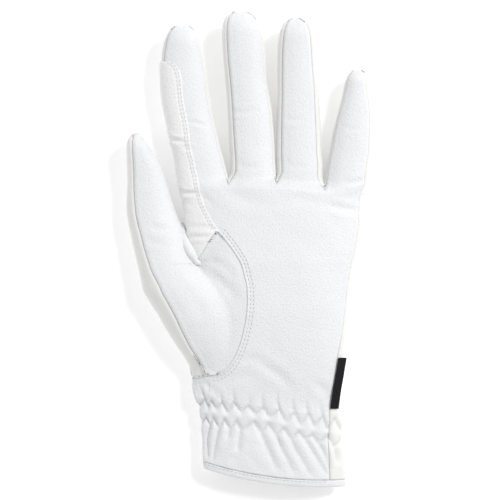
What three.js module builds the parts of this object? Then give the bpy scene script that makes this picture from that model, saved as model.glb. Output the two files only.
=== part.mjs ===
// A left riding glove in thin white leather, lying palm up.
// It is a hollow shell of sewn panels: palm, back, two thumb panels, three side strips between the
// fingers, a reinforcing patch over the index finger, a bound hem and a folded tab in the side seam.
// Frame: millimetres, +Z up, fingers towards +Y, thumb towards -X, the back of the hand on Z = 0.
// The origin lies on the floor under the middle of the palm.
import * as THREE from "three";

// Sizes of the hand
const INDEX_WIDTH = 23.4;
const MIDDLE_WIDTH = 22.4;
const RING_WIDTH = 22.4;
const LITTLE_WIDTH = 20.3;
const KNUCKLE_ROOM = 6.1; // what the hand is wider than its four fingers together
const HAND_LENGTH = 121; // from the wrist line to the roots of the fingers
const CUFF_LENGTH = 40; // from the wrist line to the lowest point of the hem
const INDEX_LENGTH = 78.9;
const MIDDLE_LENGTH = 85.8;
const RING_LENGTH = 82.7;
const LITTLE_LENGTH = 57.5;
const THUMB_LENGTH = 67.3; // from the thumb's root to its tip
const THUMB_WIDTH = 23.4;

// Heights, as the glove lies on the floor
const SIDE_HEIGHT = 8; // from the floor to the middle of the glove's sides
const PALM_HEIGHT = 13.5; // from the sides to the crown of the palm
const THUMB_HEIGHT = 14; // from the sides to the crown of the thumb's root
const FINGER_HEIGHT = 7.6; // from the sides to the crown of a finger
const FINGER_CURL = 5; // how far the fingertips rise
const THUMB_CURL = 4;

// Leather, seams and trim
const WALL = 1.2;
const SEAM_GAP = 0.3;
const LAYER_GAP = 0.3; // between a panel and a piece that lies on it
const WEB_DEPTH = 6; // how far the palm rounds off before the root of two fingers
const WEB_SEAM = 3; // from the root of two fingers to the seams in the palm and the back
const FINGER_FADE = 22; // how far a finger's roundness runs on into the palm
const NOTCH_ROOM = 2; // between the thumb's root and the hand's panels above it
const INDEX_SEAM_RISE = 10; // above the thumb's root, over which the index seam leaves the outline
const GATHER_DEPTH = 1; // of the folds that the wrist elastic draws in
const PATCH_THICKNESS = 0.9;
const BINDING_WIDTH = 3.8;
const BINDING_PROUD = 0.45;
const HEM_BOW = 2.4; // how far the hem hangs below the line between its ends
const TAB_LENGTH = 26.5;
const TAB_WIDTH = 5;
const TAB_THICKNESS = 1;
const TAB_START = 1; // from the wrist line up to the tab
const TAB_DROOP = 0.2; // how far the tab's free edge falls, as a slope

// How round a section is: 2 is an ellipse, and more is squarer
const SECTION_POWER = 2.3;
// How sharply two mounds that meet blend, such as the thumb's root and the palm
const BLEND_POWER = 4;
// The underside would be this much deeper if the floor didn't flatten it
const FLOOR_PRESS = 1.25;
// Where a fingertip starts to round off, as a share of its length
const TIP_START = 0.87;
// Up to where a finger's outline eases out of its root, as a share of its length
const ROOT_BLEND = 0.15;
const PALM_MIDDLE = 0.5157; // the origin, as a share of the hand's length above the wrist line

// Mesh density
const FINGER_COLUMNS = 5;
const WRAP_COLUMNS = 2; // between an outline and the seam above it
const THUMB_COLUMNS = 4;
const THUMB_BACK_COLUMNS = 5;
// Rows from the thumb's seam to the roots of the fingers, closest by the thumb's root
const UPPER_SHARES = [0, 0.07, 0.23, 0.48, 0.74, 1];
const PATCH_COLUMNS = 8;
const TAB_ROWS = 5;

// The outline of the hand. at: share of the hand's length above the wrist line, or of the cuff's
// below it. left, right: shares of the hand's width from its middle. height: share of the palm's.
// seam: how far the palm's right seam lies inside the outline, as a share of the width.
const HAND = [
  { at: -1.1, left: -0.362, right: 0.408, height: 0.5, seam: 0.085 },
  { at: -0.675, left: -0.368, right: 0.401, height: 0.55, seam: 0.082 },
  { at: -0.39, left: -0.371, right: 0.387, height: 0.53, seam: 0.074 },
  { at: -0.195, left: -0.379, right: 0.385, height: 0.5, seam: 0.066 },
  { at: 0, left: -0.387, right: 0.376, height: 0.52, seam: 0.055 },
  { at: 0.064, left: -0.42, right: 0.383, height: 0.6, seam: 0.053 },
  { at: 0.129, left: -0.429, right: 0.394, height: 0.7, seam: 0.05 },
  { at: 0.215, left: -0.412, right: 0.407, height: 0.82, seam: 0.044 },
  { at: 0.343, left: -0.4, right: 0.415, height: 0.93, seam: 0.022 },
  { at: 0.472, left: -0.4, right: 0.425, height: 1, seam: 0.014 },
  { at: 0.601, left: -0.407, right: 0.445, height: 1, seam: 0.014 },
  { at: 0.631, left: -0.409, right: 0.453, height: 1, seam: 0.014 },
  { at: 0.66, left: -0.429, right: 0.463, height: 0.98, seam: 0.014 },
  { at: 0.687, left: -0.442, right: 0.472, height: 0.96, seam: 0.014 },
  { at: 0.73, left: -0.456, right: 0.481, height: 0.93, seam: 0.014 },
  { at: 0.773, left: -0.464, right: 0.489, height: 0.9, seam: 0.014 },
  { at: 0.837, left: -0.47, right: 0.497, height: 0.85, seam: 0.014 },
  { at: 0.901, left: -0.481, right: 0.497, height: 0.8, seam: 0.014 },
  { at: 0.944, left: -0.495, right: 0.51, height: 0.76, seam: 0.014 },
  { at: 0.983, left: -0.508, right: 0.53, height: 0.72, seam: 0.015 },
  { at: 1, left: -0.511, right: 0.536, height: 0.7, seam: 0.016 },
];

// How high the fingers part: at the left end, between two fingers each, and at the right end, as
// shares of the hand's length above the wrist line.
const ROOTS_AT = [0.9957, 0.9957, 0.9957, 0.97, 0.983];

// Where the thumb and the hand part, in shares of the hand
const THUMB_ROOT = { x: -0.409, at: 0.631 };

// Outlines of the fingers at these shares of a finger's length, in shares of its width from the
// middle of its root. above, below: how far its seams lie inside each outline. The outer sides of
// the index and the little finger have one seam, above, and no side strip.
const STATIONS = [0, 0.04, 0.1, 0.18, 0.27, 0.4, 0.5, 0.6, 0.7, 0.8, 0.87, 0.92, 0.96, 0.985, 1];
const FINGERS = [
  {
    length: INDEX_LENGTH,
    width: INDEX_WIDTH,
    left: [-0.55, -0.572, -0.594, -0.654, -0.721, -0.812, -0.877, -0.912, -0.928, -0.917, -0.883,
      -0.834, -0.768, -0.683, -0.606],
    right: [0.55, 0.517, 0.468, 0.394, 0.317, 0.212, 0.146, 0.101, 0.054, -0.006, -0.054,
      -0.101, -0.161, -0.25, -0.328],
    seams: { left: { above: 0.07 }, right: { above: 0.03, below: 0.1 } },
  },
  {
    length: MIDDLE_LENGTH,
    width: MIDDLE_WIDTH,
    left: [-0.55, -0.497, -0.501, -0.52, -0.543, -0.571, -0.597, -0.629, -0.664, -0.69, -0.701,
      -0.687, -0.631, -0.531, -0.404],
    right: [0.55, 0.538, 0.527, 0.52, 0.503, 0.457, 0.394, 0.329, 0.306, 0.271, 0.231,
      0.173, 0.092, -0.02, -0.148],
    seams: { left: { above: 0.115, below: 0.04 }, right: { above: 0.03, below: 0.11 } },
  },
  {
    length: RING_LENGTH,
    width: RING_WIDTH,
    left: [-0.57, -0.535, -0.537, -0.545, -0.546, -0.536, -0.531, -0.528, -0.524, -0.515, -0.497,
      -0.468, -0.4, -0.3, -0.19],
    right: [0.57, 0.53, 0.53, 0.5, 0.49, 0.47, 0.452, 0.435, 0.4, 0.376, 0.353,
      0.318, 0.232, 0.09, -0.02],
    seams: { left: { above: 0.1, below: 0.04 }, right: { above: 0.115, below: 0.04 } },
  },
  {
    length: LITTLE_LENGTH,
    width: LITTLE_WIDTH,
    left: [-0.56, -0.518, -0.492, -0.462, -0.41, -0.346, -0.282, -0.218, -0.141, -0.069, -0.031,
      0.013, 0.072, 0.154, 0.244],
    right: [0.56, 0.572, 0.59, 0.61, 0.646, 0.667, 0.679, 0.679, 0.654, 0.615, 0.59,
      0.564, 0.526, 0.462, 0.372],
    seams: { left: { above: 0.03, below: 0.1 }, right: { above: 0.08 } },
  },
];

// The thumb. at: share of its length above its root, or of the way to its foot below it. left,
// right: shares of its width from its root. height: share of the thumb's. seam: how far the seam
// between its two panels lies inside its left outline, as a share of its width.
const THUMB = [
  { at: -1.09, left: -0.07, right: 0.08, height: 0, seam: 0.3 },
  { at: -1, left: -0.1, right: 0.344, height: 0.25, seam: 0.31 },
  { at: -0.874, left: -0.233, right: 0.61, height: 0.55, seam: 0.29 },
  { at: -0.739, left: -0.456, right: 0.744, height: 0.78, seam: 0.31 },
  { at: -0.604, left: -0.667, right: 0.789, height: 0.92, seam: 0.35 },
  { at: -0.468, left: -0.856, right: 0.767, height: 1, seam: 0.38 },
  { at: -0.333, left: -1.067, right: 0.656, height: 1, seam: 0.41 },
  { at: -0.243, left: -1.193, right: 0.5, height: 0.98, seam: 0.42 },
  { at: -0.153, left: -1.233, right: 0.32, height: 0.94, seam: 0.355 },
  { at: -0.063, left: -1.278, right: 0.133, height: 0.88, seam: 0.29 },
  { at: 0, left: -1.311, right: 0, height: 0.84, seam: 0.27 },
  { at: 0.062, left: -1.351, right: -0.122, height: 0.8, seam: 0.25 },
  { at: 0.139, left: -1.407, right: -0.2, height: 0.75, seam: 0.24 },
  { at: 0.216, left: -1.456, right: -0.262, height: 0.71, seam: 0.23 },
  { at: 0.293, left: -1.507, right: -0.333, height: 0.67, seam: 0.22 },
  { at: 0.409, left: -1.556, right: -0.467, height: 0.62, seam: 0.21 },
  { at: 0.525, left: -1.544, right: -0.578, height: 0.59, seam: 0.17 },
  { at: 0.641, left: -1.522, right: -0.678, height: 0.57, seam: 0.145 },
  { at: 0.757, left: -1.54, right: -0.789, height: 0.56, seam: 0.15 },
  { at: 0.834, left: -1.553, right: -0.911, height: 0.55, seam: 0.15 },
  { at: 0.896, left: -1.56, right: -1.022, height: 0.54, seam: 0.15 },
  { at: 0.942, left: -1.54, right: -1.104, height: 0.53, seam: 0.15 },
  { at: 0.973, left: -1.482, right: -1.171, height: 0.52, seam: 0.15 },
  { at: 1, left: -1.4, right: -1.267, height: 0.5, seam: 0.15 },
];
// How far the seam on the thumb's other side lies under its outline, as a share of its width, and
// where it gets there, as a share of the thumb's length
const THUMB_UNDER = 0.1;
const THUMB_UNDER_AT = 0.062;

// Rows of the panels from the binding to the foot of the thumb. left, right: shares of the hand's
// length above the wrist line, or of the cuff's below it. fold: how much the row is gathered.
const CUFF_ROWS = [
  { left: -0.662, right: -0.896, fold: 0 },
  { left: -0.5, right: -0.7, fold: 0.6 },
  { left: -0.34, right: -0.53, fold: 0.9 },
  { left: -0.19, right: -0.37, fold: 1 },
  { left: -0.07, right: -0.25, fold: 0.9 },
  { left: 0.035, right: -0.12, fold: 1 },
  { left: 0.085, right: 0, fold: 0.5 },
  { left: 0.1375, right: 0.08, fold: 0.1 },
];

// The seam around the thumb's root, from its foot to its upper corner in the palm. x, at: shares of
// the hand. thumb: the same row on the thumb's left seam. under: x on the back of the hand.
// right: the same row on the palm's right seam.
const THUMB_SEAM = [
  { x: -0.346, at: 0.1525, thumb: -1, under: -0.375, right: 0.15 },
  { x: -0.291, at: 0.16, thumb: -0.93, under: -0.37, right: 0.185 },
  { x: -0.247, at: 0.18, thumb: -0.85, under: -0.36, right: 0.225 },
  { x: -0.203, at: 0.223, thumb: -0.76, under: -0.35, right: 0.27 },
  { x: -0.17, at: 0.279, thumb: -0.66, under: -0.34, right: 0.32 },
  { x: -0.148, at: 0.343, thumb: -0.56, under: -0.335, right: 0.375 },
  { x: -0.132, at: 0.408, thumb: -0.46, under: -0.335, right: 0.43 },
  { x: -0.126, at: 0.472, thumb: -0.36, under: -0.34, right: 0.485 },
  { x: -0.129, at: 0.528, thumb: -0.26, under: -0.35, right: 0.535 },
  { x: -0.143, at: 0.579, thumb: -0.13, under: -0.37, right: 0.585 },
  { x: -0.159, at: 0.627, thumb: 0, under: -0.409, right: 0.63 },
  { x: -0.184, at: 0.662, right: 0.66 },
  { x: -0.212, at: 0.695, right: 0.69 },
  { x: -0.242, at: 0.726, right: 0.72 },
  { x: -0.27, at: 0.752, right: 0.75 },
  { x: -0.291, at: 0.768, right: 0.775 },
];
// The seam that runs from the thumb's root to the same corner, in shares of the hand
const FLAP_SEAM = [
  { x: -0.409, at: 0.631 },
  { x: -0.378, at: 0.664 },
  { x: -0.357, at: 0.69 },
  { x: -0.335, at: 0.718 },
  { x: -0.312, at: 0.745 },
  { x: -0.291, at: 0.768 },
];

// The patch, from the index finger down. finger: share of that finger's length, or hand: share of
// the hand's. right: its edge inside the outline, as a share of that finger's or the hand's width.
// wrap: how far it goes round the outline and under, or stays above it, as a share of the same.
const PATCH = [
  { finger: 0.762, right: 0.17, wrap: 0.04 },
  { finger: 0.74, right: 0.32, wrap: 0.07 },
  { finger: 0.7, right: 0.42, wrap: 0.09 },
  { finger: 0.62, right: 0.465, wrap: 0.09 },
  { finger: 0.51, right: 0.46, wrap: 0.09 },
  { finger: 0.4, right: 0.46, wrap: 0.09 },
  { finger: 0.3, right: 0.445, wrap: 0.09 },
  { finger: 0.2, right: 0.41, wrap: 0.09 },
  { finger: 0.1, right: 0.42, wrap: 0.08 },
  { finger: 0.02, right: 0.45, wrap: 0.07 },
  { hand: 0.94, right: 0.107, wrap: 0.014 },
  { hand: 0.9, right: 0.11, wrap: 0.008 },
  { hand: 0.86, right: 0.12, wrap: 0 },
  { hand: 0.82, right: 0.138, wrap: -0.004 },
  { hand: 0.785, right: 0.152, wrap: -0.008 },
  { hand: 0.75, right: 0.13, wrap: -0.01 },
  { hand: 0.72, right: 0.1, wrap: -0.012 },
  { hand: 0.695, right: 0.07, wrap: -0.014 },
];

const MITRE_LIMIT = 0.35; // keeps a sharp corner of a panel from being cut back too far
const SLOPE_STEP = 0.25; // over which the surface's slope is measured
const FOOT_TURN = 0.3; // where the edge at the thumb's foot turns over the outline, as a share of it
const ON_PALM = 1;
const ON_BACK = -1;

const HAND_WIDTH = INDEX_WIDTH + MIDDLE_WIDTH + RING_WIDTH + LITTLE_WIDTH + KNUCKLE_ROOM;
const WRIST_Y = -PALM_MIDDLE * HAND_LENGTH;

const clamp = (value, low, high) => Math.min(high, Math.max(low, value));
const mix = (a, b, share) => a + (b - a) * share;
const mixSpot = (a, b, share) => ({ x: mix(a.x, b.x, share), y: mix(a.y, b.y, share) });
const smooth = (value) => {
  const t = clamp(value, 0, 1);
  return t * t * (3 - 2 * t);
};
const lastOf = (list) => list[list.length - 1];
const reversed = (list) => [...list].reverse();

// A smooth curve through a table's column, with no overshoot between its rows.
function curve(stations, values) {
  const last = stations.length - 1;
  const slope = stations.slice(1).map((at, i) => (values[i + 1] - values[i]) / (at - stations[i]));
  const tangent = values.map((_, i) => {
    if (i === 0 || i === last) return slope[Math.min(i, last - 1)];
    const [before, after] = [slope[i - 1], slope[i]];
    return before * after <= 0 ? 0 : (2 * before * after) / (before + after);
  });
  return (at) => {
    const x = clamp(at, stations[0], stations[last]);
    let i = 0;
    while (i < last - 1 && x > stations[i + 1]) i++;
    const step = stations[i + 1] - stations[i];
    const t = (x - stations[i]) / step;
    return values[i] * (1 + 2 * t) * (1 - t) ** 2
      + values[i + 1] * t * t * (3 - 2 * t)
      + step * (tangent[i] * t * (1 - t) ** 2 - tangent[i + 1] * t * t * (1 - t));
  };
}
const columnOf = (rows, key) => curve(rows.map((row) => row.at), rows.map((row) => row[key]));

// The hand
const handY = (at) => WRIST_Y + at * (at < 0 ? CUFF_LENGTH : HAND_LENGTH);
const handAt = (y) => (y - WRIST_Y) / (y < WRIST_Y ? CUFF_LENGTH : HAND_LENGTH);
const handSpot = ({ x, at }) => ({ x: x * HAND_WIDTH, y: handY(at) });
const handShares = {
  left: columnOf(HAND, "left"),
  right: columnOf(HAND, "right"),
  height: columnOf(HAND, "height"),
  seam: columnOf(HAND, "seam"),
};
const handLeft = (y) => handShares.left(handAt(y)) * HAND_WIDTH;
const handRight = (y) => handShares.right(handAt(y)) * HAND_WIDTH;

// Where the fingers part. Each has as much of the knuckles as its width is of all four.
const ROOTS = ROOTS_AT.map((at, i) => {
  const sum = (fingers) => fingers.reduce((total, finger) => total + finger.width, 0);
  const from = handLeft(handY(ROOTS_AT[0]));
  const to = handRight(handY(lastOf(ROOTS_AT)));
  return { x: mix(from, to, sum(FINGERS.slice(0, i)) / sum(FINGERS)), y: handY(at) };
});
function rootLine(x) {
  const next = clamp(ROOTS.filter((root) => root.x <= x).length, 1, ROOTS.length - 1);
  const [from, to] = [ROOTS[next - 1], ROOTS[next]];
  return mix(from.y, to.y, clamp((x - from.x) / (to.x - from.x), 0, 1));
}

// The hand, each finger and the thumb are mounds: left and right are a mound's outlines at a height
// y, and height is how far its crown stands above the glove's sides.
const tipRound = (at) => Math.sqrt(1 - clamp((at - TIP_START) / (1 - TIP_START), 0, 1) ** 2);

const hand = {
  left: handLeft,
  right: handRight,
  height(x, y) {
    const end = clamp(1 - (rootLine(x) - y) / WEB_DEPTH, 0, 1);
    return PALM_HEIGHT * handShares.height(handAt(y)) * Math.sqrt(1 - end * end);
  },
};

const fingers = FINGERS.map((finger, i) => {
  const roots = { left: ROOTS[i], right: ROOTS[i + 1] };
  const middle = (roots.left.x + roots.right.x) / 2;
  const rootY = Math.max(roots.left.y, roots.right.y);
  const tipY = rootY + finger.length;
  const outer = { left: i === 0 ? handLeft : null, right: i === FINGERS.length - 1 ? handRight : null };
  const outline = (edge) => {
    const shares = curve(STATIONS, finger[edge]);
    const settle = roots[edge].x - middle - finger.width * finger[edge][0];
    return (y) => {
      const at = (y - roots[edge].y) / (tipY - roots[edge].y);
      if (at <= 0) return outer[edge] ? outer[edge](y) : roots[edge].x;
      return middle + finger.width * shares(at) + settle * (1 - smooth(at / ROOT_BLEND));
    };
  };
  return {
    outer,
    seams: finger.seams,
    width: finger.width,
    rootY,
    tipY,
    yAt: (edge, at) => mix(roots[edge].y, tipY, at),
    left: outline("left"),
    right: outline("right"),
    height(x, y) {
      const fade = smooth(1 - (rootY - y) / FINGER_FADE);
      return FINGER_HEIGHT * fade * tipRound((y - rootY) / finger.length);
    },
  };
});

const thumbRoot = handSpot(THUMB_ROOT);
const thumbReach = thumbRoot.y - handY(THUMB_SEAM[0].at);
const thumbY = (at) => thumbRoot.y + at * (at < 0 ? thumbReach : THUMB_LENGTH);
const thumbAt = (y) => (y - thumbRoot.y) / (y < thumbRoot.y ? thumbReach : THUMB_LENGTH);
const thumbShares = {
  left: columnOf(THUMB, "left"),
  right: columnOf(THUMB, "right"),
  height: columnOf(THUMB, "height"),
  seam: columnOf(THUMB, "seam"),
};
const thumb = {
  left: (y) => thumbRoot.x + thumbShares.left(thumbAt(y)) * THUMB_WIDTH,
  right: (y) => thumbRoot.x + thumbShares.right(thumbAt(y)) * THUMB_WIDTH,
  height: (x, y) => THUMB_HEIGHT * thumbShares.height(thumbAt(y)) * tipRound(thumbAt(y)),
};
const isOnThumb = (y) => thumbAt(y) > THUMB[0].at && thumbAt(y) < 1;

// How far one mound stands above the glove's sides over (x, y).
function moundHeight(mound, x, y) {
  const [left, right] = [mound.left(y), mound.right(y)];
  const share = Math.abs((2 * x - left - right) / (right - left));
  if (share >= 1) return 0;
  return mound.height(x, y) * (1 - share ** SECTION_POWER) ** (1 / SECTION_POWER);
}

// How far the palm's side of the glove stands above its sides over (x, y).
function crown(x, y) {
  const there = fingers.filter((finger) => y > finger.rootY - FINGER_FADE && y < finger.tipY);
  if (y < rootLine(x)) there.push(hand);
  if (isOnThumb(y)) there.push(thumb);
  const sum = there.reduce((total, mound) => total + moundHeight(mound, x, y) ** BLEND_POWER, 0);
  return sum ** (1 / BLEND_POWER);
}

// How deep the underside is over (x, y). The floor flattens it, and the binding has room there.
function depth(x, y) {
  const room = BINDING_PROUD * smooth(handAt(y) / CUFF_ROWS[0].left);
  return Math.min(FLOOR_PRESS * crown(x, y), SIDE_HEIGHT - room);
}

// How high the glove's sides are over (x, y): the tips of the fingers and of the thumb curl up.
function sideHeight(x, y) {
  const isByThumb = 2 * x < thumb.right(y) + handLeft(y);
  if (isByThumb) return SIDE_HEIGHT + THUMB_CURL * clamp(thumbAt(y), 0, 1) ** 2;
  return SIDE_HEIGHT + FINGER_CURL * Math.max(0, (y - rootLine(x)) / MIDDLE_LENGTH) ** 2;
}

// The point of the glove's surface over (x, y), and the direction that faces out of it there.
function surface(x, y, side) {
  const thickness = side === ON_PALM ? crown : depth;
  const rise = thickness(x, y);
  const slopes = (field) => [
    (field(x + SLOPE_STEP, y) - field(x - SLOPE_STEP, y)) / (2 * SLOPE_STEP),
    (field(x, y + SLOPE_STEP) - field(x, y - SLOPE_STEP)) / (2 * SLOPE_STEP),
  ];
  const [bulgeX, bulgeY] = slopes((u, v) => thickness(u, v) ** 2 / 2);
  const [tiltX, tiltY] = slopes(sideHeight);
  return {
    point: new THREE.Vector3(x, y, sideHeight(x, y) + side * rise),
    normal: new THREE.Vector3(-side * rise * tiltX - bulgeX, -side * rise * tiltY - bulgeY, side * rise)
      .normalize(),
  };
}

const isBefore = (a, b) => (Math.abs(a.y - b.y) > SEAM_GAP ? a.y < b.y : a.x < b.x);

// A panel is a sheet on the glove's surface. Its rows of places are gathered first. Then it is
// closed into a solid: an outer face, an inner face a wall below it, and the cut edges between.
// A place is { x, y, side }, with sink for how far a fold lies below the surface there, or it
// brings its own point and normal.
class Panel {
  places = [];
  keys = new Map();
  faces = [];

  add({ x, y, side, sink = 0, own = null }) {
    const { point, normal } = own ?? surface(x, y, side);
    const sunk = point.clone().addScaledVector(normal, -sink);
    const key = sunk.toArray().map((value) => value.toFixed(3)).join(" ");
    if (!this.keys.has(key)) {
      this.keys.set(key, this.places.length);
      this.places.push({ point: sunk, normal });
    }
    return this.keys.get(key);
  }

  triangle(a, b, c) {
    if (a !== b && b !== c && c !== a) this.faces.push([a, b, c]);
  }

  // A strip between two rows. turn: one more place between the rows' first places.
  strip(lower, upper, turn = null) {
    const [low, high] = [lower, upper].map((row) => row.map((place) => this.add(place)));
    for (let i = 0; i + 1 < low.length; i++) {
      if (i === 0 && turn) {
        const middle = this.add(turn);
        this.triangle(low[0], low[1], middle);
        this.triangle(middle, low[1], high[1]);
        this.triangle(middle, high[1], high[0]);
      } else {
        this.triangle(low[i], low[i + 1], high[i + 1]);
        this.triangle(low[i], high[i + 1], high[i]);
      }
    }
  }

  rows(rows) {
    rows.slice(1).forEach((row, i) => this.strip(rows[i], row));
  }

  // The edges that only one face has.
  edges() {
    const open = new Map();
    for (const [a, b, c] of this.faces) {
      for (const [from, to] of [[a, b], [b, c], [c, a]]) {
        if (!open.delete(`${to} ${from}`)) open.set(`${from} ${to}`, [from, to]);
      }
    }
    return [...open.values()];
  }

  // Draws the cut edges back from the seam by half its gap.
  drawBack(edges, gap) {
    const inward = this.places.map(() => []);
    for (const [from, to] of edges) {
      const along = this.places[to].point.clone().sub(this.places[from].point);
      for (const i of [from, to]) {
        inward[i].push(this.places[i].normal.clone().cross(along).normalize());
      }
    }
    inward.forEach((directions, i) => {
      if (directions.length === 0) return;
      const mean = new THREE.Vector3();
      directions.forEach((direction) => mean.addScaledVector(direction, 1 / directions.length));
      this.places[i].point.addScaledVector(mean, gap / 2 / Math.max(mean.lengthSq(), MITRE_LIMIT));
    });
  }

  // lift: how far the outer face stands above the surface.
  close({ gap = SEAM_GAP, thickness = WALL, lift = 0 } = {}) {
    const edges = this.edges();
    this.drawBack(edges, gap);
    const raise = (height) => this.places.map(({ point, normal }) => (
      point.clone().addScaledVector(normal, height)));
    const inner = this.places.length;
    const index = this.faces.flatMap(([a, b, c]) => [a, b, c, inner + a, inner + c, inner + b]);
    for (const [from, to] of edges) {
      // Both panels at a seam split its twisted edge along the same diagonal, so they stay apart.
      if (isBefore(this.places[from].point, this.places[to].point)) {
        index.push(from, inner + from, to, to, inner + from, inner + to);
      } else {
        index.push(from, inner + from, inner + to, from, inner + to, to);
      }
    }
    const position = [...raise(lift), ...raise(lift - thickness)].flatMap((point) => point.toArray());
    const geometry = new THREE.BufferGeometry();
    geometry.setAttribute("position", new THREE.Float32BufferAttribute(position, 3));
    geometry.setIndex(index);
    geometry.computeVertexNormals();
    return geometry;
  }
}

// A row of places between two spots, closer together where the section turns down to an outline.
function rowOf(from, to, columns, side, { left, right }) {
  const angleOf = (x) => Math.asin(clamp((2 * x - left - right) / (right - left), -1, 1));
  const [start, end] = [angleOf(from.x), angleOf(to.x)];
  const range = Math.sin(end) - Math.sin(start);
  return Array.from({ length: columns + 1 }, (_, i) => {
    const share = i / columns;
    const crowded = (Math.sin(mix(start, end, share)) - Math.sin(start)) / range;
    return { ...mixSpot(from, to, range === 0 ? share : crowded), side };
  });
}
const straightRow = (from, to, columns, side) => (
  Array.from({ length: columns + 1 }, (_, i) => ({ ...mixSpot(from, to, i / columns), side })));

// The places from an outline up to the seam above it, without the outline's own.
function wrap(outlineX, seam, width) {
  const half = width / 2;
  const toSeam = seam.x - outlineX;
  const angle = Math.acos(clamp(1 - Math.abs(toSeam) / half, -1, 1));
  return Array.from({ length: WRAP_COLUMNS }, (_, i) => {
    const reach = half * (1 - Math.cos((angle * (i + 1)) / WRAP_COLUMNS));
    return { x: outlineX + Math.sign(toSeam) * reach, y: seam.y, side: ON_PALM };
  });
}

// A row between two others, with its ends on given spots.
function rowBetween(lower, upper, share, from, to, side) {
  const last = lower.length - 1;
  const start = mixSpot(lower[0], upper[0], share);
  const end = mixSpot(lower[last], upper[last], share);
  return lower.map((spot, i) => {
    const { x, y } = mixSpot(spot, upper[i], share);
    const along = i / last;
    return { x: x + mix(from.x - start.x, to.x - end.x, along), y, side };
  });
}

// Seams
const palmRight = (y) => ({ x: handRight(y) - handShares.seam(handAt(y)) * HAND_WIDTH, y });
const palmLeft = (y) => {
  const inset = FINGERS[0].seams.left.above * INDEX_WIDTH;
  return { x: handLeft(y) + inset * smooth((y - thumbRoot.y) / INDEX_SEAM_RISE), y };
};
const indexSeamStart = thumbRoot.y + NOTCH_ROOM;
const web = (i) => ({ x: ROOTS[i].x, y: ROOTS[i].y - WEB_SEAM });
const thumbSeam = (at) => {
  const y = thumbY(at);
  return { x: thumb.left(y) + thumbShares.seam(at) * THUMB_WIDTH * tipRound(at), y };
};
const thumbUnder = (at) => {
  const y = thumbY(at);
  const ease = smooth(at / THUMB_UNDER_AT);
  return { x: thumb.right(y) - THUMB_UNDER * THUMB_WIDTH * ease * tipRound(at), y };
};
function fingerSeam(finger, edge, level, at) {
  const y = finger.yAt(edge, at);
  const inset = finger.seams[edge][level] * finger.width * tipRound(at);
  return { x: finger[edge](y) + (edge === "left" ? inset : -inset), y };
}
const fingerOutline = (finger, edge, at) => {
  const y = finger.yAt(edge, at);
  return { x: finger[edge](y), y };
};

// The rows of one side of a finger, from the seams at its root to its tip.
function fingerRows(i, side) {
  const finger = fingers[i];
  const rootSeam = {
    left: i === 0 ? palmLeft(ROOTS[0].y) : web(i),
    right: i === fingers.length - 1 ? palmRight(ROOTS[i + 1].y) : web(i + 1),
  };
  const end = (edge, at) => {
    if (side === ON_BACK && finger.outer[edge]) return fingerOutline(finger, edge, at);
    if (at === 0) return rootSeam[edge];
    return fingerSeam(finger, edge, side === ON_PALM ? "above" : "below", at);
  };
  return STATIONS.map((at) => {
    const outline = {
      left: fingerOutline(finger, "left", at).x,
      right: fingerOutline(finger, "right", at).x,
    };
    return rowOf(end("left", at), end("right", at), FINGER_COLUMNS, side, outline);
  });
}

// The hem's rows hang in a bow, and every second place is drawn in by the elastic.
function gather(places, i) {
  const [first, last] = [places[0].x, lastOf(places).x];
  const bow = HEM_BOW * (1 - smooth(i / (CUFF_ROWS.length - 1)));
  return places.map((place, k) => {
    const share = (place.x - first) / (last - first);
    const sink = k % 2 === 1 ? CUFF_ROWS[i].fold * GATHER_DEPTH : 0;
    return { ...place, y: place.y - bow * 4 * share * (1 - share), sink };
  });
}

// The left outline of the cuff, or of the thumb's foot where that reaches further.
const cuffLeft = (y) => ({ x: isOnThumb(y) ? Math.min(handLeft(y), thumb.left(y)) : handLeft(y), y });
const footSide = cuffLeft(handY(lastOf(CUFF_ROWS).left));
const foot = handSpot(THUMB_SEAM[0]);
const footTurn = { ...mixSpot(footSide, foot, FOOT_TURN), side: ON_PALM };

// The palm and the fronts of the four fingers. Below the thumb's upper corner the palm has the
// columns of three fingers, and above it those of all four.
const PALM_COLUMNS = FINGER_COLUMNS * (FINGERS.length - 1);

function cuffPalmRow(i, down = 0) {
  const { left, right } = CUFF_ROWS[i];
  const [from, to] = [cuffLeft(handY(left) - down), palmRight(handY(right) - down)];
  return gather(rowOf(from, to, PALM_COLUMNS, ON_PALM, { left: from.x, right: handRight(to.y) }), i);
}

function palmPanel() {
  const panel = new Panel();
  const cuff = CUFF_ROWS.map((_, i) => cuffPalmRow(i));
  const beside = THUMB_SEAM.map((seam) => {
    const [from, to] = [handSpot(seam), palmRight(handY(seam.right))];
    return rowOf(from, to, PALM_COLUMNS, ON_PALM, { left: handLeft(from.y), right: handRight(to.y) });
  });
  panel.rows(cuff);
  panel.strip(lastOf(cuff), beside[0], footTurn);
  panel.rows(beside);

  const corner = [
    { ...palmLeft(indexSeamStart), side: ON_PALM },
    ...FLAP_SEAM.slice(1).map((seam) => ({ ...handSpot(seam), side: ON_PALM })),
    ...lastOf(beside).slice(1),
  ];
  const fronts = fingers.map((_, i) => fingerRows(i, ON_PALM));
  const roots = fronts.flatMap((rows, i) => rows[0].slice(i === 0 ? 0 : 1));
  const upper = UPPER_SHARES.slice(1, -1).map((share) => {
    const from = palmLeft(mix(corner[0].y, roots[0].y, share));
    const to = palmRight(mix(lastOf(corner).y, lastOf(roots).y, share));
    return rowBetween(corner, roots, share, from, to, ON_PALM);
  });
  panel.rows([corner, ...upper, roots]);
  fronts.forEach((rows) => panel.rows(rows));
  return panel.close();
}

// The back of the hand and of the four fingers. Its rows run from the palm's right seam round the
// right outline and across the floor to the left.
const BACK_COLUMNS = FINGER_COLUMNS * FINGERS.length;

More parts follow.
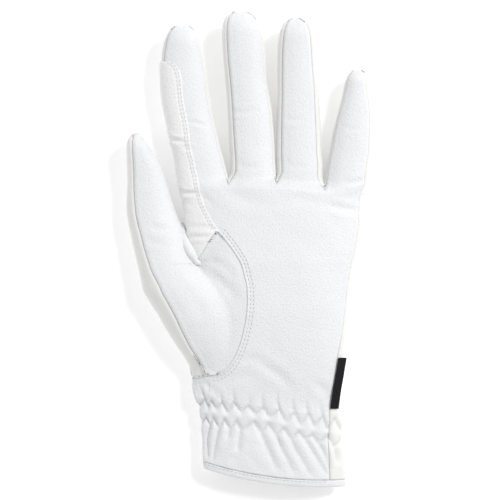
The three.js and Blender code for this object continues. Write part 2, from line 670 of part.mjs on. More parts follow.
function backRow(rightY, leftEnd, outlineLeft) {
  const right = { x: handRight(rightY), y: rightY };
  const outline = { left: outlineLeft, right: right.x };
  return {
    turned: reversed(wrap(right.x, palmRight(rightY), HAND_WIDTH)),
    flat: rowOf(right, leftEnd, BACK_COLUMNS, ON_BACK, outline),
  };
}

function cuffBackRow(i, down = 0) {
  const { left, right } = CUFF_ROWS[i];
  const end = cuffLeft(handY(left) - down);
  const { turned, flat } = backRow(handY(right) - down, end, end.x);
  return [...turned, ...gather(flat, i)];
}

function backPanel() {
  const panel = new Panel();
  const cuff = CUFF_ROWS.map((_, i) => cuffBackRow(i));
  const notch = { x: handLeft(indexSeamStart), y: indexSeamStart };
  const beside = THUMB_SEAM.map(({ at, under, right }) => {
    const end = under > THUMB_ROOT.x ? handSpot({ x: under, at }) : notch;
    const { turned, flat } = backRow(handY(right), end, Math.min(end.x, handLeft(end.y)));
    return [...turned, ...flat];
  });
  panel.rows([...cuff, ...beside]);

  const backs = fingers.map((_, i) => fingerRows(i, ON_BACK));
  const roots = reversed(backs.flatMap((rows, i) => rows[0].slice(i === 0 ? 0 : 1)));
  const top = lastOf(beside).slice(WRAP_COLUMNS);
  const leftWrap = (y) => wrap(handLeft(y), palmLeft(y), HAND_WIDTH);
  const rightWrap = (y) => reversed(wrap(handRight(y), palmRight(y), HAND_WIDTH));
  const upper = UPPER_SHARES.map((share) => {
    const rightY = mix(palmRight(handY(lastOf(THUMB_SEAM).right)).y, lastOf(ROOTS).y, share);
    const leftY = mix(indexSeamStart, ROOTS[0].y, share);
    const [from, to] = [{ x: handRight(rightY), y: rightY }, { x: handLeft(leftY), y: leftY }];
    const flat = rowBetween(top, roots, share, from, to, ON_BACK);
    return [...rightWrap(rightY), ...flat, ...leftWrap(leftY)];
  });
  panel.rows(upper);

  backs.forEach((rows, i) => {
    const finger = fingers[i];
    panel.rows(rows.map((flat, k) => {
      const at = STATIONS[k];
      const around = (edge, rootSeam) => {
        if (!finger.outer[edge]) return [];
        const seam = k === 0 ? rootSeam : fingerSeam(finger, edge, "above", at);
        return wrap(fingerOutline(finger, edge, at).x, seam, k === 0 ? HAND_WIDTH : finger.width);
      };
      return [
        ...reversed(around("right", palmRight(lastOf(ROOTS).y))),
        ...reversed(flat),
        ...around("left", palmLeft(ROOTS[0].y)),
      ];
    }));
  });
  return panel.close();
}

// The front of the thumb, with the horn that reaches into the palm.
function thumbFront() {
  const panel = new Panel();
  const rootRow = THUMB_SEAM.findIndex(({ thumb: at }) => at === 0);
  const below = THUMB_SEAM.slice(0, rootRow).map((seam, i) => {
    const from = i === 0 ? foot : thumbSeam(seam.thumb);
    return straightRow(from, handSpot(seam), 2 * THUMB_COLUMNS, ON_PALM);
  });
  const horn = THUMB_SEAM.slice(rootRow).map((seam, i) => (
    straightRow(handSpot(FLAP_SEAM[i]), handSpot(seam), THUMB_COLUMNS, ON_PALM)));
  const strip = THUMB.filter(({ at }) => at >= 0).map(({ at }) => {
    const y = thumbY(at);
    const outline = { left: thumb.left(y), right: thumb.right(y) };
    const front = rowOf(thumbSeam(at), { x: outline.right, y }, THUMB_COLUMNS, ON_PALM, outline);
    return [...front, { ...thumbUnder(at), side: ON_BACK }];
  });
  panel.rows([...below, [...strip[0].slice(0, THUMB_COLUMNS), ...horn[0]]]);
  panel.rows(horn);
  panel.rows(strip);
  return panel.close();
}

// The back of the thumb, which turns over its left outline up to the front's seam.
function thumbBack() {
  const panel = new Panel();
  const rowTo = (start, seam) => {
    const side = { x: thumb.left(seam.y), y: seam.y };
    const outline = { left: side.x, right: Math.max(thumb.right(seam.y), start.x) };
    return [
      ...rowOf(start, side, THUMB_BACK_COLUMNS, ON_BACK, outline),
      ...wrap(side.x, seam, outline.right - side.x),
    ];
  };
  const under = handSpot({ x: THUMB_SEAM[0].under, at: THUMB_SEAM[0].at });
  const footRow = [
    ...Array.from({ length: THUMB_BACK_COLUMNS }, () => ({ ...under, side: ON_BACK })),
    { ...footSide, side: ON_BACK },
    footTurn,
    { ...foot, side: ON_PALM },
  ];
  const below = THUMB_SEAM.filter(({ thumb: at }) => at < 0).slice(1).map((seam) => (
    rowTo(handSpot({ x: seam.under, at: seam.at }), thumbSeam(seam.thumb))));
  const above = THUMB.filter(({ at }) => at >= 0).map(({ at }) => rowTo(thumbUnder(at), thumbSeam(at)));
  panel.rows([footRow, ...below, ...above]);
  return panel.close();
}

// The strip that joins the sides of two neighbouring fingers through the web between them.
function fourchette(i) {
  const panel = new Panel();
  const side = (finger, edge) => STATIONS.slice(1).map((at) => [
    { ...fingerSeam(finger, edge, "below", at), side: ON_BACK },
    { ...fingerOutline(finger, edge, at), side: ON_PALM },
    { ...fingerSeam(finger, edge, "above", at), side: ON_PALM },
  ]);
  const root = [
    { ...web(i + 1), side: ON_BACK },
    { ...ROOTS[i + 1], side: ON_PALM },
    { ...web(i + 1), side: ON_PALM },
  ];
  panel.rows([...reversed(side(fingers[i], "right")), root, ...side(fingers[i + 1], "left")]);
  return panel.close();
}

// The patch that lies over the index finger's side, down to the thumb's root.
function patchPiece() {
  const panel = new Panel();
  const [index] = fingers;
  const rows = PATCH.map(({ finger, hand: handShare, right, wrap: under }) => {
    const onFinger = finger !== undefined;
    const y = onFinger ? index.yAt("left", finger) : handY(handShare);
    const left = onFinger ? index.left(y) : handLeft(y);
    const width = onFinger ? INDEX_WIDTH : HAND_WIDTH;
    const angleOf = (share) => Math.sign(share) * Math.acos(1 - 2 * Math.abs(share));
    const [start, end] = [angleOf(-under), angleOf(right)];
    return Array.from({ length: PATCH_COLUMNS + 1 }, (_, i) => {
      const angle = mix(start, end, i / PATCH_COLUMNS);
      const x = left + (width / 2) * (1 - Math.cos(angle));
      return { x, y, side: angle < 0 ? ON_BACK : ON_PALM };
    });
  });
  panel.rows(reversed(rows));
  return panel.close({ gap: 0, thickness: PATCH_THICKNESS, lift: LAYER_GAP + PATCH_THICKNESS });
}

// The binding, a closed band around the hem.
function bindingPiece() {
  const panel = new Panel();
  const band = (down) => [...cuffPalmRow(0, down), ...cuffBackRow(0, down)];
  panel.rows([band(BINDING_WIDTH), band(0)]);
  return panel.close({ thickness: WALL + 2 * BINDING_PROUD, lift: BINDING_PROUD });
}

// The tab, which is held in the right seam and stands a little off the leather beside it.
function tabPiece() {
  const panel = new Panel();
  const direction = new THREE.Vector3(1, 0, -TAB_DROOP).normalize();
  const normal = new THREE.Vector3(TAB_DROOP, 0, 1).normalize();
  const rows = Array.from({ length: TAB_ROWS + 1 }, (_, i) => {
    const seam = palmRight(WRIST_Y + TAB_START + (TAB_LENGTH * i) / TAB_ROWS);
    const { point } = surface(seam.x, seam.y, ON_PALM);
    return [0, TAB_WIDTH / 2, TAB_WIDTH].map((reach) => (
      { own: { point: point.clone().addScaledVector(direction, reach), normal } }));
  });
  panel.rows(rows);
  return panel.close({ gap: 0, thickness: TAB_THICKNESS, lift: LAYER_GAP + TAB_THICKNESS });
}

const palmLeather = new THREE.MeshStandardMaterial({ color: 0xf1f3f6, roughness: 0.62, metalness: 0 });
const backLeather = new THREE.MeshStandardMaterial({ color: 0xf3f1ec, roughness: 0.66, metalness: 0 });
const ribbon = new THREE.MeshStandardMaterial({ color: 0x101012, roughness: 0.55, metalness: 0 });

function piece(name, geometry, material) {
  const mesh = new THREE.Mesh(geometry, material);
  mesh.name = name;
  return mesh;
}

const glove = new THREE.Group();
glove.name = "riding_glove";
glove.add(
  piece("palm_panel", palmPanel(), palmLeather),
  piece("back_panel", backPanel(), backLeather),
  piece("thumb_front", thumbFront(), palmLeather),
  piece("thumb_back", thumbBack(), backLeather),
  piece("fourchette_index_middle", fourchette(0), backLeather),
  piece("fourchette_middle_ring", fourchette(1), backLeather),
  piece("fourchette_ring_little", fourchette(2), backLeather),
  piece("rein_patch", patchPiece(), backLeather),
  piece("cuff_binding", bindingPiece(), backLeather),
  piece("side_label", tabPiece(), ribbon),
);

export default glove;
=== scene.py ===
# %% [markdown]
# # A white riding glove, palm up
# A riding glove is sewn from thin leather panels: a palm, a back, two panels for the thumb, a narrow
# side strip between each two fingers, and a patch where the rein runs. It has no stiff part, so what
# makes it look real is how the leather rolls into its seams, puckers at the elastic and creases
# where the fingers bend. This lesson makes every panel as a fine sheet that lies on one smooth
# surface, and then presses the seams, stitches and folds into the sheets.

import bpy
import numpy as np
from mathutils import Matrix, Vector
from mathutils.kdtree import KDTree
from mathutils.noise import noise
from types import SimpleNamespace


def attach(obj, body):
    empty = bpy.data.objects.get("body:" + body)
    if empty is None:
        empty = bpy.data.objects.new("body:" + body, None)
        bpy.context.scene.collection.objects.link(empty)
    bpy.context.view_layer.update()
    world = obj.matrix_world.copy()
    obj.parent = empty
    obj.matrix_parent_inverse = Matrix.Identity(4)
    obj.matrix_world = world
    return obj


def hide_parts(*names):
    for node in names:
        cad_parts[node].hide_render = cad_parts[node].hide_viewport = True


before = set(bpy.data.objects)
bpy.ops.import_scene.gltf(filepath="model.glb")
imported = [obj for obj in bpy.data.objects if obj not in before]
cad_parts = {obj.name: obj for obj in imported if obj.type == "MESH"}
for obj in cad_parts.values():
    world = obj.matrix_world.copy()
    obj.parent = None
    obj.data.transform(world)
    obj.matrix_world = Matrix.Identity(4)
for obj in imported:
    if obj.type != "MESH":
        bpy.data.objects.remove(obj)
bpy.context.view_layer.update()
print("solids in the frame:", sorted(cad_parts))

# %% [markdown]
# ## The camera
# The glove was photographed from straight above. A long lens held far away keeps the fingers and
# the cuff at one scale. At the height of the glove's sides one pixel of the picture is 0.52 mm, so
# the distance follows from the lens: a far camera with a long lens sees the same width as a near
# one with a short lens, but with less perspective.

# %% Make the camera
MM = 0.001  # the lesson counts in millimetres, and Blender in metres
PIXEL = 0.52
PICTURE = 500
PICTURE_MIDDLE = (-10.9, 20.8)
SIDE_HEIGHT = 8
LENS = 150
SENSOR = 36

camera_data = bpy.data.cameras.new("camera")
camera_data.lens = LENS
camera_data.sensor_width = SENSOR
camera = bpy.data.objects.new("camera", camera_data)
camera_distance = PICTURE * PIXEL * LENS / SENSOR
camera.location = Vector((*PICTURE_MIDDLE, SIDE_HEIGHT + camera_distance)) * MM
bpy.context.scene.collection.objects.link(camera)
bpy.context.scene.camera = camera
print("camera distance in mm:", round(camera_distance))


def spot(across, down):
    """The place in the frame under a pixel of the picture, counted from its upper left corner."""
    middle = PICTURE / 2
    return (
        PICTURE_MIDDLE[0] + (across - middle) * PIXEL,
        PICTURE_MIDDLE[1] - (down - middle) * PIXEL,
    )


# %% [markdown]
# ## The sizes of the glove
# The panels have to meet at their seams, so they all read the same sizes. The tables hold the
# outlines of the hand, the fingers and the thumb as shares of the named sizes. A table is a good
# form for a shape that only a hand explains: each row can be changed without touching the rest.

# %% Sizes in millimetres
INDEX_WIDTH, MIDDLE_WIDTH, RING_WIDTH, LITTLE_WIDTH = 23.4, 22.4, 22.4, 20.3
KNUCKLE_ROOM = 6.1
HAND_WIDTH = INDEX_WIDTH + MIDDLE_WIDTH + RING_WIDTH + LITTLE_WIDTH + KNUCKLE_ROOM
HAND_LENGTH = 121
CUFF_LENGTH = 40
THUMB_LENGTH = 67.3
THUMB_WIDTH = 23.4
MIDDLE_LENGTH = 85.8
PALM_HEIGHT = 13.5
THUMB_HEIGHT = 14
FINGER_HEIGHT = 7.6
FINGER_CURL = 5
THUMB_CURL = 4
WEB_DEPTH = 6
WEB_SEAM = 3
FINGER_FADE = 22
NOTCH_ROOM = 2
INDEX_SEAM_RISE = 10
HEM_BOW = 2.4
BINDING_WIDTH = 3.8
BINDING_PROUD = 0.45
SECTION_POWER = 2.3
BLEND_POWER = 4
FLOOR_PRESS = 1.25
TIP_START = 0.87
ROOT_BLEND = 0.15
PALM_MIDDLE = 0.5157
WRIST_Y = -PALM_MIDDLE * HAND_LENGTH
PALM_SIDE, BACK_SIDE = 1, -1
print("hand width:", round(HAND_WIDTH, 1))


# %% Tables of the outlines
def table(names, rows):
    """A table's columns by their names."""
    return dict(zip(names.split(), (np.array(column, float) for column in zip(*rows))))


HAND = table("at left right height seam", [
    (-1.1, -0.362, 0.408, 0.5, 0.085), (-0.675, -0.368, 0.401, 0.55, 0.082),
    (-0.39, -0.371, 0.387, 0.53, 0.074), (-0.195, -0.379, 0.385, 0.5, 0.066),
    (0, -0.387, 0.376, 0.52, 0.055), (0.064, -0.42, 0.383, 0.6, 0.053),
    (0.129, -0.429, 0.394, 0.7, 0.05), (0.215, -0.412, 0.407, 0.82, 0.044),
    (0.343, -0.4, 0.415, 0.93, 0.022), (0.472, -0.4, 0.425, 1, 0.014),
    (0.601, -0.407, 0.445, 1, 0.014), (0.631, -0.409, 0.453, 1, 0.014),
    (0.66, -0.429, 0.463, 0.98, 0.014), (0.687, -0.442, 0.472, 0.96, 0.014),
    (0.73, -0.456, 0.481, 0.93, 0.014), (0.773, -0.464, 0.489, 0.9, 0.014),
    (0.837, -0.47, 0.497, 0.85, 0.014), (0.901, -0.481, 0.497, 0.8, 0.014),
    (0.944, -0.495, 0.51, 0.76, 0.014), (0.983, -0.508, 0.53, 0.72, 0.015),
    (1, -0.511, 0.536, 0.7, 0.016),
])
ROOTS_AT = [0.9957, 0.9957, 0.9957, 0.97, 0.983]
THUMB_ROOT = (-0.409, 0.631)
STATIONS = [0, 0.04, 0.1, 0.18, 0.27, 0.4, 0.5, 0.6, 0.7, 0.8, 0.87, 0.92, 0.96, 0.985, 1]
FINGERS = [
    dict(
        length=78.9, width=INDEX_WIDTH,
        left=[-0.55, -0.572, -0.594, -0.654, -0.721, -0.812, -0.877, -0.912, -0.928, -0.917,
              -0.883, -0.834, -0.768, -0.683, -0.606],
        right=[0.55, 0.517, 0.468, 0.394, 0.317, 0.212, 0.146, 0.101, 0.054, -0.006, -0.054,
               -0.101, -0.161, -0.25, -0.328],
        seams=dict(left=dict(above=0.07), right=dict(above=0.03, below=0.1)),
    ),
    dict(
        length=MIDDLE_LENGTH, width=MIDDLE_WIDTH,
        left=[-0.55, -0.497, -0.501, -0.52, -0.543, -0.571, -0.597, -0.629, -0.664, -0.69,
              -0.701, -0.687, -0.631, -0.531, -0.404],
        right=[0.55, 0.538, 0.527, 0.52, 0.503, 0.457, 0.394, 0.329, 0.306, 0.271, 0.231,
               0.173, 0.092, -0.02, -0.148],
        seams=dict(left=dict(above=0.115, below=0.04), right=dict(above=0.03, below=0.11)),
    ),
    dict(
        length=82.7, width=RING_WIDTH,
        left=[-0.57, -0.535, -0.537, -0.545, -0.546, -0.536, -0.531, -0.528, -0.524, -0.515,
              -0.497, -0.468, -0.4, -0.3, -0.19],
        right=[0.57, 0.53, 0.53, 0.5, 0.49, 0.47, 0.452, 0.435, 0.4, 0.376, 0.353, 0.318,
               0.232, 0.09, -0.02],
        seams=dict(left=dict(above=0.1, below=0.04), right=dict(above=0.115, below=0.04)),
    ),
    dict(
        length=57.5, width=LITTLE_WIDTH,
        left=[-0.56, -0.518, -0.492, -0.462, -0.41, -0.346, -0.282, -0.218, -0.141, -0.069,
              -0.031, 0.013, 0.072, 0.154, 0.244],
        right=[0.56, 0.572, 0.59, 0.61, 0.646, 0.667, 0.679, 0.679, 0.654, 0.615, 0.59, 0.564,
               0.526, 0.462, 0.372],
        seams=dict(left=dict(above=0.03, below=0.1), right=dict(above=0.08)),
    ),
]
THUMB = table("at left right height seam", [
    (-1.09, -0.07, 0.08, 0, 0.3), (-1, -0.1, 0.344, 0.25, 0.31), (-0.874, -0.233, 0.61, 0.55, 0.29),
    (-0.739, -0.456, 0.744, 0.78, 0.31), (-0.604, -0.667, 0.789, 0.92, 0.35),
    (-0.468, -0.856, 0.767, 1, 0.38), (-0.333, -1.067, 0.656, 1, 0.41),
    (-0.243, -1.193, 0.5, 0.98, 0.42), (-0.153, -1.233, 0.32, 0.94, 0.355),
    (-0.063, -1.278, 0.133, 0.88, 0.29), (0, -1.311, 0, 0.84, 0.27),
    (0.062, -1.351, -0.122, 0.8, 0.25), (0.139, -1.407, -0.2, 0.75, 0.24),
    (0.216, -1.456, -0.262, 0.71, 0.23), (0.293, -1.507, -0.333, 0.67, 0.22),
    (0.409, -1.556, -0.467, 0.62, 0.21), (0.525, -1.544, -0.578, 0.59, 0.17),
    (0.641, -1.522, -0.678, 0.57, 0.145), (0.757, -1.54, -0.789, 0.56, 0.15),
    (0.834, -1.553, -0.911, 0.55, 0.15), (0.896, -1.56, -1.022, 0.54, 0.15),
    (0.942, -1.54, -1.104, 0.53, 0.15), (0.973, -1.482, -1.171, 0.52, 0.15),
    (1, -1.4, -1.267, 0.5, 0.15),
])
THUMB_UNDER = 0.1
THUMB_UNDER_AT = 0.062
CUFF_ROWS = table("left right", [
    (-0.662, -0.896), (-0.5, -0.7), (-0.34, -0.53), (-0.19, -0.37), (-0.07, -0.25),
    (0.035, -0.12), (0.085, 0), (0.1375, 0.08),
])
THUMB_SEAM = table("x at thumb under right", [
    (-0.346, 0.1525, -1, -0.375, 0.15), (-0.291, 0.16, -0.93, -0.37, 0.185),
    (-0.247, 0.18, -0.85, -0.36, 0.225), (-0.203, 0.223, -0.76, -0.35, 0.27),
    (-0.17, 0.279, -0.66, -0.34, 0.32), (-0.148, 0.343, -0.56, -0.335, 0.375),
    (-0.132, 0.408, -0.46, -0.335, 0.43), (-0.126, 0.472, -0.36, -0.34, 0.485),
    (-0.129, 0.528, -0.26, -0.35, 0.535), (-0.143, 0.579, -0.13, -0.37, 0.585),
    (-0.159, 0.627, 0, -0.409, 0.63), (-0.184, 0.662, 0, -0.409, 0.66),
    (-0.212, 0.695, 0, -0.409, 0.69), (-0.242, 0.726, 0, -0.409, 0.72),
    (-0.27, 0.752, 0, -0.409, 0.75), (-0.291, 0.768, 0, -0.409, 0.775),
])
ROOT_ROW = 10  # the row of the thumb's seam that is level with the thumb's root
FLAP_SEAM = table("x at", [
    (-0.409, 0.631), (-0.378, 0.664), (-0.357, 0.69), (-0.335, 0.718), (-0.312, 0.745),
    (-0.291, 0.768),
])
PATCH = table("on_finger at right wrap", [
    (1, 0.762, 0.17, 0.04), (1, 0.74, 0.32, 0.07), (1, 0.7, 0.42, 0.09), (1, 0.62, 0.465, 0.09),
    (1, 0.51, 0.46, 0.09), (1, 0.4, 0.46, 0.09), (1, 0.3, 0.445, 0.09), (1, 0.2, 0.41, 0.09),
    (1, 0.1, 0.42, 0.08), (1, 0.02, 0.45, 0.07), (0, 0.94, 0.107, 0.014), (0, 0.9, 0.109, 0.008),
    (0, 0.86, 0.122, 0), (0, 0.82, 0.143, -0.002), (0, 0.79, 0.163, -0.003),
    (0, 0.768, 0.18, -0.004), (0, 0.745, 0.159, -0.004), (0, 0.718, 0.127, -0.004),
    (0, 0.69, 0.097, -0.004), (0, 0.664, 0.063, -0.004), (0, 0.645, 0.039, -0.004),
])
print("rows in the tables:", [len(t["at"]) for t in (HAND, THUMB, THUMB_SEAM, PATCH)])

# %% [markdown]
# ## The smooth surface
# A smooth curve runs through each table's column. It never swings past its points, so a finger's
# outline gets no false bulge between two rows. The hand, each finger and the thumb are then mounds
# over those outlines, and where two mounds meet they blend. The floor flattens the underside.


# %% Curves through the tables
def smooth(value):
    t = np.clip(value, 0, 1)
    return t * t * (3 - 2 * t)


def mix(a, b, share):
    return a + (b - a) * share


def bell(distance, width):
    """1 on a line, and less and less on both sides of it."""
    return np.exp(-((distance / width) ** 2))


def curve(stations, values):
    """A smooth curve through points, with no overshoot between them."""
    stations, values = np.asarray(stations, float), np.asarray(values, float)
    slope = np.diff(values) / np.diff(stations)
    product, total = slope[:-1] * slope[1:], slope[:-1] + slope[1:]
    turns = product <= 0
    inner = np.where(turns, 0, 2 * product / np.where(turns, 1, total))
    tangent = np.concatenate([slope[:1], inner, slope[-1:]])

    def at(x):
        x = np.clip(x, stations[0], stations[-1])
        i = np.clip(np.searchsorted(stations, x, side="right") - 1, 0, len(stations) - 2)
        step = stations[i + 1] - stations[i]
        t = (x - stations[i]) / step
        ease = t * t * (3 - 2 * t)
        bend = tangent[i] * t * (1 - t) ** 2 - tangent[i + 1] * t * t * (1 - t)
        return values[i] * (1 - ease) + values[i + 1] * ease + step * bend

    return at


def columns(rows):
    """A smooth curve for each column of a table, over its column at."""
    return SimpleNamespace(**{name: curve(rows["at"], rows[name]) for name in rows if name != "at"})


def by_row(rows):
    """A smooth curve for each column of a table, over the number of its row."""
    numbers = np.arange(len(next(iter(rows.values()))))
    return SimpleNamespace(**{name: curve(numbers, rows[name]) for name in rows})


hand_shares, thumb_shares = columns(HAND), columns(THUMB)
cuff_row, seam_row, flap_row, patch_row = map(by_row, (CUFF_ROWS, THUMB_SEAM, FLAP_SEAM, PATCH))
print("hand width at the wrist line:", round(float(hand_shares.right(0) - hand_shares.left(0)), 2))


# %% Outlines of the hand and where the fingers part
def outlines(shares, root, below, above, width):
    """Of the hand or the thumb: y at a share, the share at a y, and both sides at a y."""
    def y_at(at):
        return root[1] + at * np.where(np.less(at, 0), below, above)

    def at_y(y):
        return (y - root[1]) / np.where(np.less(y, root[1]), below, above)

    def left(y):
        return root[0] + shares.left(at_y(y)) * width

    def right(y):
        return root[0] + shares.right(at_y(y)) * width

    return y_at, at_y, left, right


hand_y, hand_at, hand_left, hand_right = outlines(
    hand_shares, (0, WRIST_Y), CUFF_LENGTH, HAND_LENGTH, HAND_WIDTH)


def hand_spot(x, at):
    return np.array([x * HAND_WIDTH, hand_y(at)], float)


finger_widths = np.array([finger["width"] for finger in FINGERS])
reached = np.concatenate([[0], np.cumsum(finger_widths)]) / finger_widths.sum()
ROOTS = np.column_stack([
    mix(hand_left(hand_y(ROOTS_AT[0])), hand_right(hand_y(ROOTS_AT[-1])), reached),
    hand_y(np.array(ROOTS_AT)),
])


def root_line(x):
    return np.interp(x, ROOTS[:, 0], ROOTS[:, 1])


print("the fingers part at:", ROOTS.round(1).tolist())


# %% The mounds of the fingers and the thumb
def tip_round(at):
    return np.sqrt(1 - np.clip((at - TIP_START) / (1 - TIP_START), 0, 1) ** 2)


def make_finger(i, entry):
    roots = {"left": ROOTS[i], "right": ROOTS[i + 1]}
    middle = (roots["left"][0] + roots["right"][0]) / 2
    root_y = max(roots["left"][1], roots["right"][1])
    tip_y = root_y + entry["length"]
    outer = {"left": hand_left if i == 0 else None,
             "right": hand_right if i == len(FINGERS) - 1 else None}

    def outline(edge):
        shares = curve(STATIONS, entry[edge])
        settle = roots[edge][0] - middle - entry["width"] * entry[edge][0]

        def x_at(y):
            at = (y - roots[edge][1]) / (tip_y - roots[edge][1])
            on_finger = middle + entry["width"] * shares(at) + settle * (1 - smooth(at / ROOT_BLEND))
            on_hand = outer[edge](y) if outer[edge] else roots[edge][0]
            return np.where(np.less_equal(at, 0), on_hand, on_finger)

        return x_at

    return SimpleNamespace(
        outer=outer, seams=entry["seams"], width=entry["width"], length=entry["length"],
        root_y=root_y, tip_y=tip_y, roots=roots, left=outline("left"), right=outline("right"),
    )


fingers = [make_finger(i, entry) for i, entry in enumerate(FINGERS)]
thumb_root = hand_spot(*THUMB_ROOT)
thumb_reach = thumb_root[1] - hand_y(THUMB_SEAM["at"][0])


thumb_y, thumb_at, thumb_left, thumb_right = outlines(
    thumb_shares, thumb_root, thumb_reach, THUMB_LENGTH, THUMB_WIDTH)


def is_on_thumb(y):
    return (thumb_at(y) > THUMB["at"][0]) & (thumb_at(y) < 1)


print("fingertips at y:", [round(finger.tip_y, 1) for finger in fingers])


# %% The glove's surface
SLOPE_STEP = 0.25  # mm from a place to where its slope is measured
SHORTEST = 1e-9  # guards a division where a length is nothing


def mound(left, right, height, x):
    share = np.abs((2 * x - left - right) / (right - left))
    return height * np.clip(1 - share**SECTION_POWER, 0, 1) ** (1 / SECTION_POWER)


def crown(x, y):
    """How far the palm's side stands above the glove's sides."""
    end = np.clip(1 - (root_line(x) - y) / WEB_DEPTH, 0, 1)
    palm = PALM_HEIGHT * hand_shares.height(hand_at(y)) * np.sqrt(1 - end**2)
    total = mound(hand_left(y), hand_right(y), palm * (y < root_line(x)), x) ** BLEND_POWER
    for finger in fingers:
        there = (y > finger.root_y - FINGER_FADE) & (y < finger.tip_y)
        fade = smooth(1 - (finger.root_y - y) / FINGER_FADE)
        height = FINGER_HEIGHT * fade * tip_round((y - finger.root_y) / finger.length) * there
        total = total + mound(finger.left(y), finger.right(y), height, x) ** BLEND_POWER
    at = thumb_at(y)
    height = THUMB_HEIGHT * thumb_shares.height(at) * tip_round(at) * is_on_thumb(y)
    total = total + mound(thumb_left(y), thumb_right(y), height, x) ** BLEND_POWER
    return total ** (1 / BLEND_POWER)


def depth(x, y):
    """How deep the underside is below the glove's sides, down to the floor."""
    room = BINDING_PROUD * smooth(hand_at(y) / CUFF_ROWS["left"][0])
    return np.minimum(FLOOR_PRESS * crown(x, y), SIDE_HEIGHT - room)


def side_height(x, y):
    by_thumb = 2 * x < thumb_right(y) + hand_left(y)
    on_thumb = SIDE_HEIGHT + THUMB_CURL * np.clip(thumb_at(y), 0, 1) ** 2
    on_hand = SIDE_HEIGHT + FINGER_CURL * np.maximum(0, (y - root_line(x)) / MIDDLE_LENGTH) ** 2
    return np.where(by_thumb, on_thumb, on_hand)


def surface(places):
    """Points of the surface at places (x, y, side), and the normals there."""
    x, y, side = places.T

    def rise(u, v):
        return np.where(side > 0, crown(u, v), depth(u, v))

    def slopes(field):
        across = field(x + SLOPE_STEP, y) - field(x - SLOPE_STEP, y)
        along = field(x, y + SLOPE_STEP) - field(x, y - SLOPE_STEP)
        return across / (2 * SLOPE_STEP), along / (2 * SLOPE_STEP)

    high = rise(x, y)
    bulge = slopes(lambda u, v: rise(u, v) ** 2 / 2)
    tilt = slopes(side_height)
    points = np.column_stack([x, y, side_height(x, y) + side * high])
    normals = np.column_stack([
        -side * high * tilt[0] - bulge[0], -side * high * tilt[1] - bulge[1], side * high,
    ])
    length = np.linalg.norm(normals, axis=1, keepdims=True)
    return points, normals / np.maximum(length, SHORTEST)


middle_of_palm = surface(np.array([[0, 0, PALM_SIDE]], float))[0][0]
print("height over the middle of the palm:", round(middle_of_palm[2], 1))


# %% [markdown]
# ## Seam lines
# Every seam is a line on the surface, and both panels that meet there use the same function for
# it. A seam between two fingers starts at the web, a little way into the palm, and runs up beside
# the finger to its tip.


# %% Where the seams run
LAST_SEAM_ROW, LAST_FLAP_ROW = len(THUMB_SEAM["x"]) - 1, len(FLAP_SEAM["x"]) - 1
LAST_CUFF_ROW = len(CUFF_ROWS["left"]) - 1


def seam_spot(number):
    return hand_spot(seam_row.x(number), seam_row.at(number))


def under_spot(number):
    return hand_spot(seam_row.under(number), seam_row.at(number))


def flap_spot(number):
    return hand_spot(flap_row.x(number), flap_row.at(number))


def palm_right(y):
    return np.array([hand_right(y) - hand_shares.seam(hand_at(y)) * HAND_WIDTH, y], float)


def palm_left(y):
    inset = FINGERS[0]["seams"]["left"]["above"] * INDEX_WIDTH
    return np.array([hand_left(y) + inset * smooth((y - thumb_root[1]) / INDEX_SEAM_RISE), y], float)


index_seam_start = float(thumb_root[1]) + NOTCH_ROOM


def web(i):
    return ROOTS[i] - np.array([0, WEB_SEAM])


def thumb_seam(at):
    y = thumb_y(at)
    inset = thumb_shares.seam(at) * THUMB_WIDTH * tip_round(at)
    return np.array([thumb_left(y) + inset, y], float)


def thumb_under(at):
    y = thumb_y(at)
    inset = THUMB_UNDER * THUMB_WIDTH * smooth(at / THUMB_UNDER_AT) * tip_round(at)
    return np.array([thumb_right(y) - inset, y], float)


def finger_outline(finger, edge, at):
    y = mix(finger.roots[edge][1], finger.tip_y, at)
    return np.array([getattr(finger, edge)(y), y], float)


def finger_seam(i, edge, level, at):
    """A finger's seam, which starts at the web and leaves it by the first station."""
    finger = fingers[i]
    first = STATIONS[1]
    if at < first:
        if finger.outer[edge]:
            root = (palm_left if edge == "left" else palm_right)(finger.roots[edge][1])
        else:
            root = web(i if edge == "left" else i + 1)
        return mix(root, finger_seam(i, edge, level, first), at / first)
    inset = finger.seams[edge][level] * finger.width * tip_round(at)
    outline = finger_outline(finger, edge, at)
    return outline + np.array([inset if edge == "left" else -inset, 0])


def cuff_left(y):
    outline = np.where(is_on_thumb(y), np.minimum(hand_left(y), thumb_left(y)), hand_left(y))
    return np.array([outline, y], float)


foot_side = cuff_left(hand_y(CUFF_ROWS["left"][-1]))
foot, foot_under = seam_spot(0), under_spot(0)
print("the thumb's foot:", foot.round(1), foot_side.round(1))

# %% [markdown]
# ## Rows of places
# A panel is a grid of places on the surface. Places crowd together towards the ends of a row,
# because the surface turns down steeply at an outline and the leather rolls into a seam there. A
# subdivision modifier could smooth a coarse grid instead, but it would round the seams away.

# %% Rows and grids
FINGER_COLUMNS = 34  # across the front of a finger
BACK_FINGER_COLUMNS = 20
WRAP_COLUMNS = 10  # between an outline and the seam above it
FINGER_ROW = 0.7  # mm between rows
END_STEPS = (0.2, 0.5)  # closer places at the ends of a row, as shares of a column
LEAST_ROWS = 3  # between two stations


def spread(count):
    """Shares from 0 to 1, with closer ones at both ends."""
    close = np.array(END_STEPS) / count
    return np.sort(np.concatenate([np.linspace(0, 1, count + 1), close, 1 - close]))


def on_side(spots, side):
    return np.column_stack([spots, np.full(len(spots), side)])


def row_of(start, end, shares, side, left, right):
    """Places between two spots, closer together where the section turns down to an outline."""
    def angle(x):
        return np.arcsin(np.clip((2 * x - left - right) / (right - left), -1, 1))

    a, b = angle(start[0]), angle(end[0])
    reach = np.sin(b) - np.sin(a)
    crowded = shares if abs(reach) < SHORTEST else (np.sin(mix(a, b, shares)) - np.sin(a)) / reach
    return on_side(mix(start, end, crowded[:, None]), side)


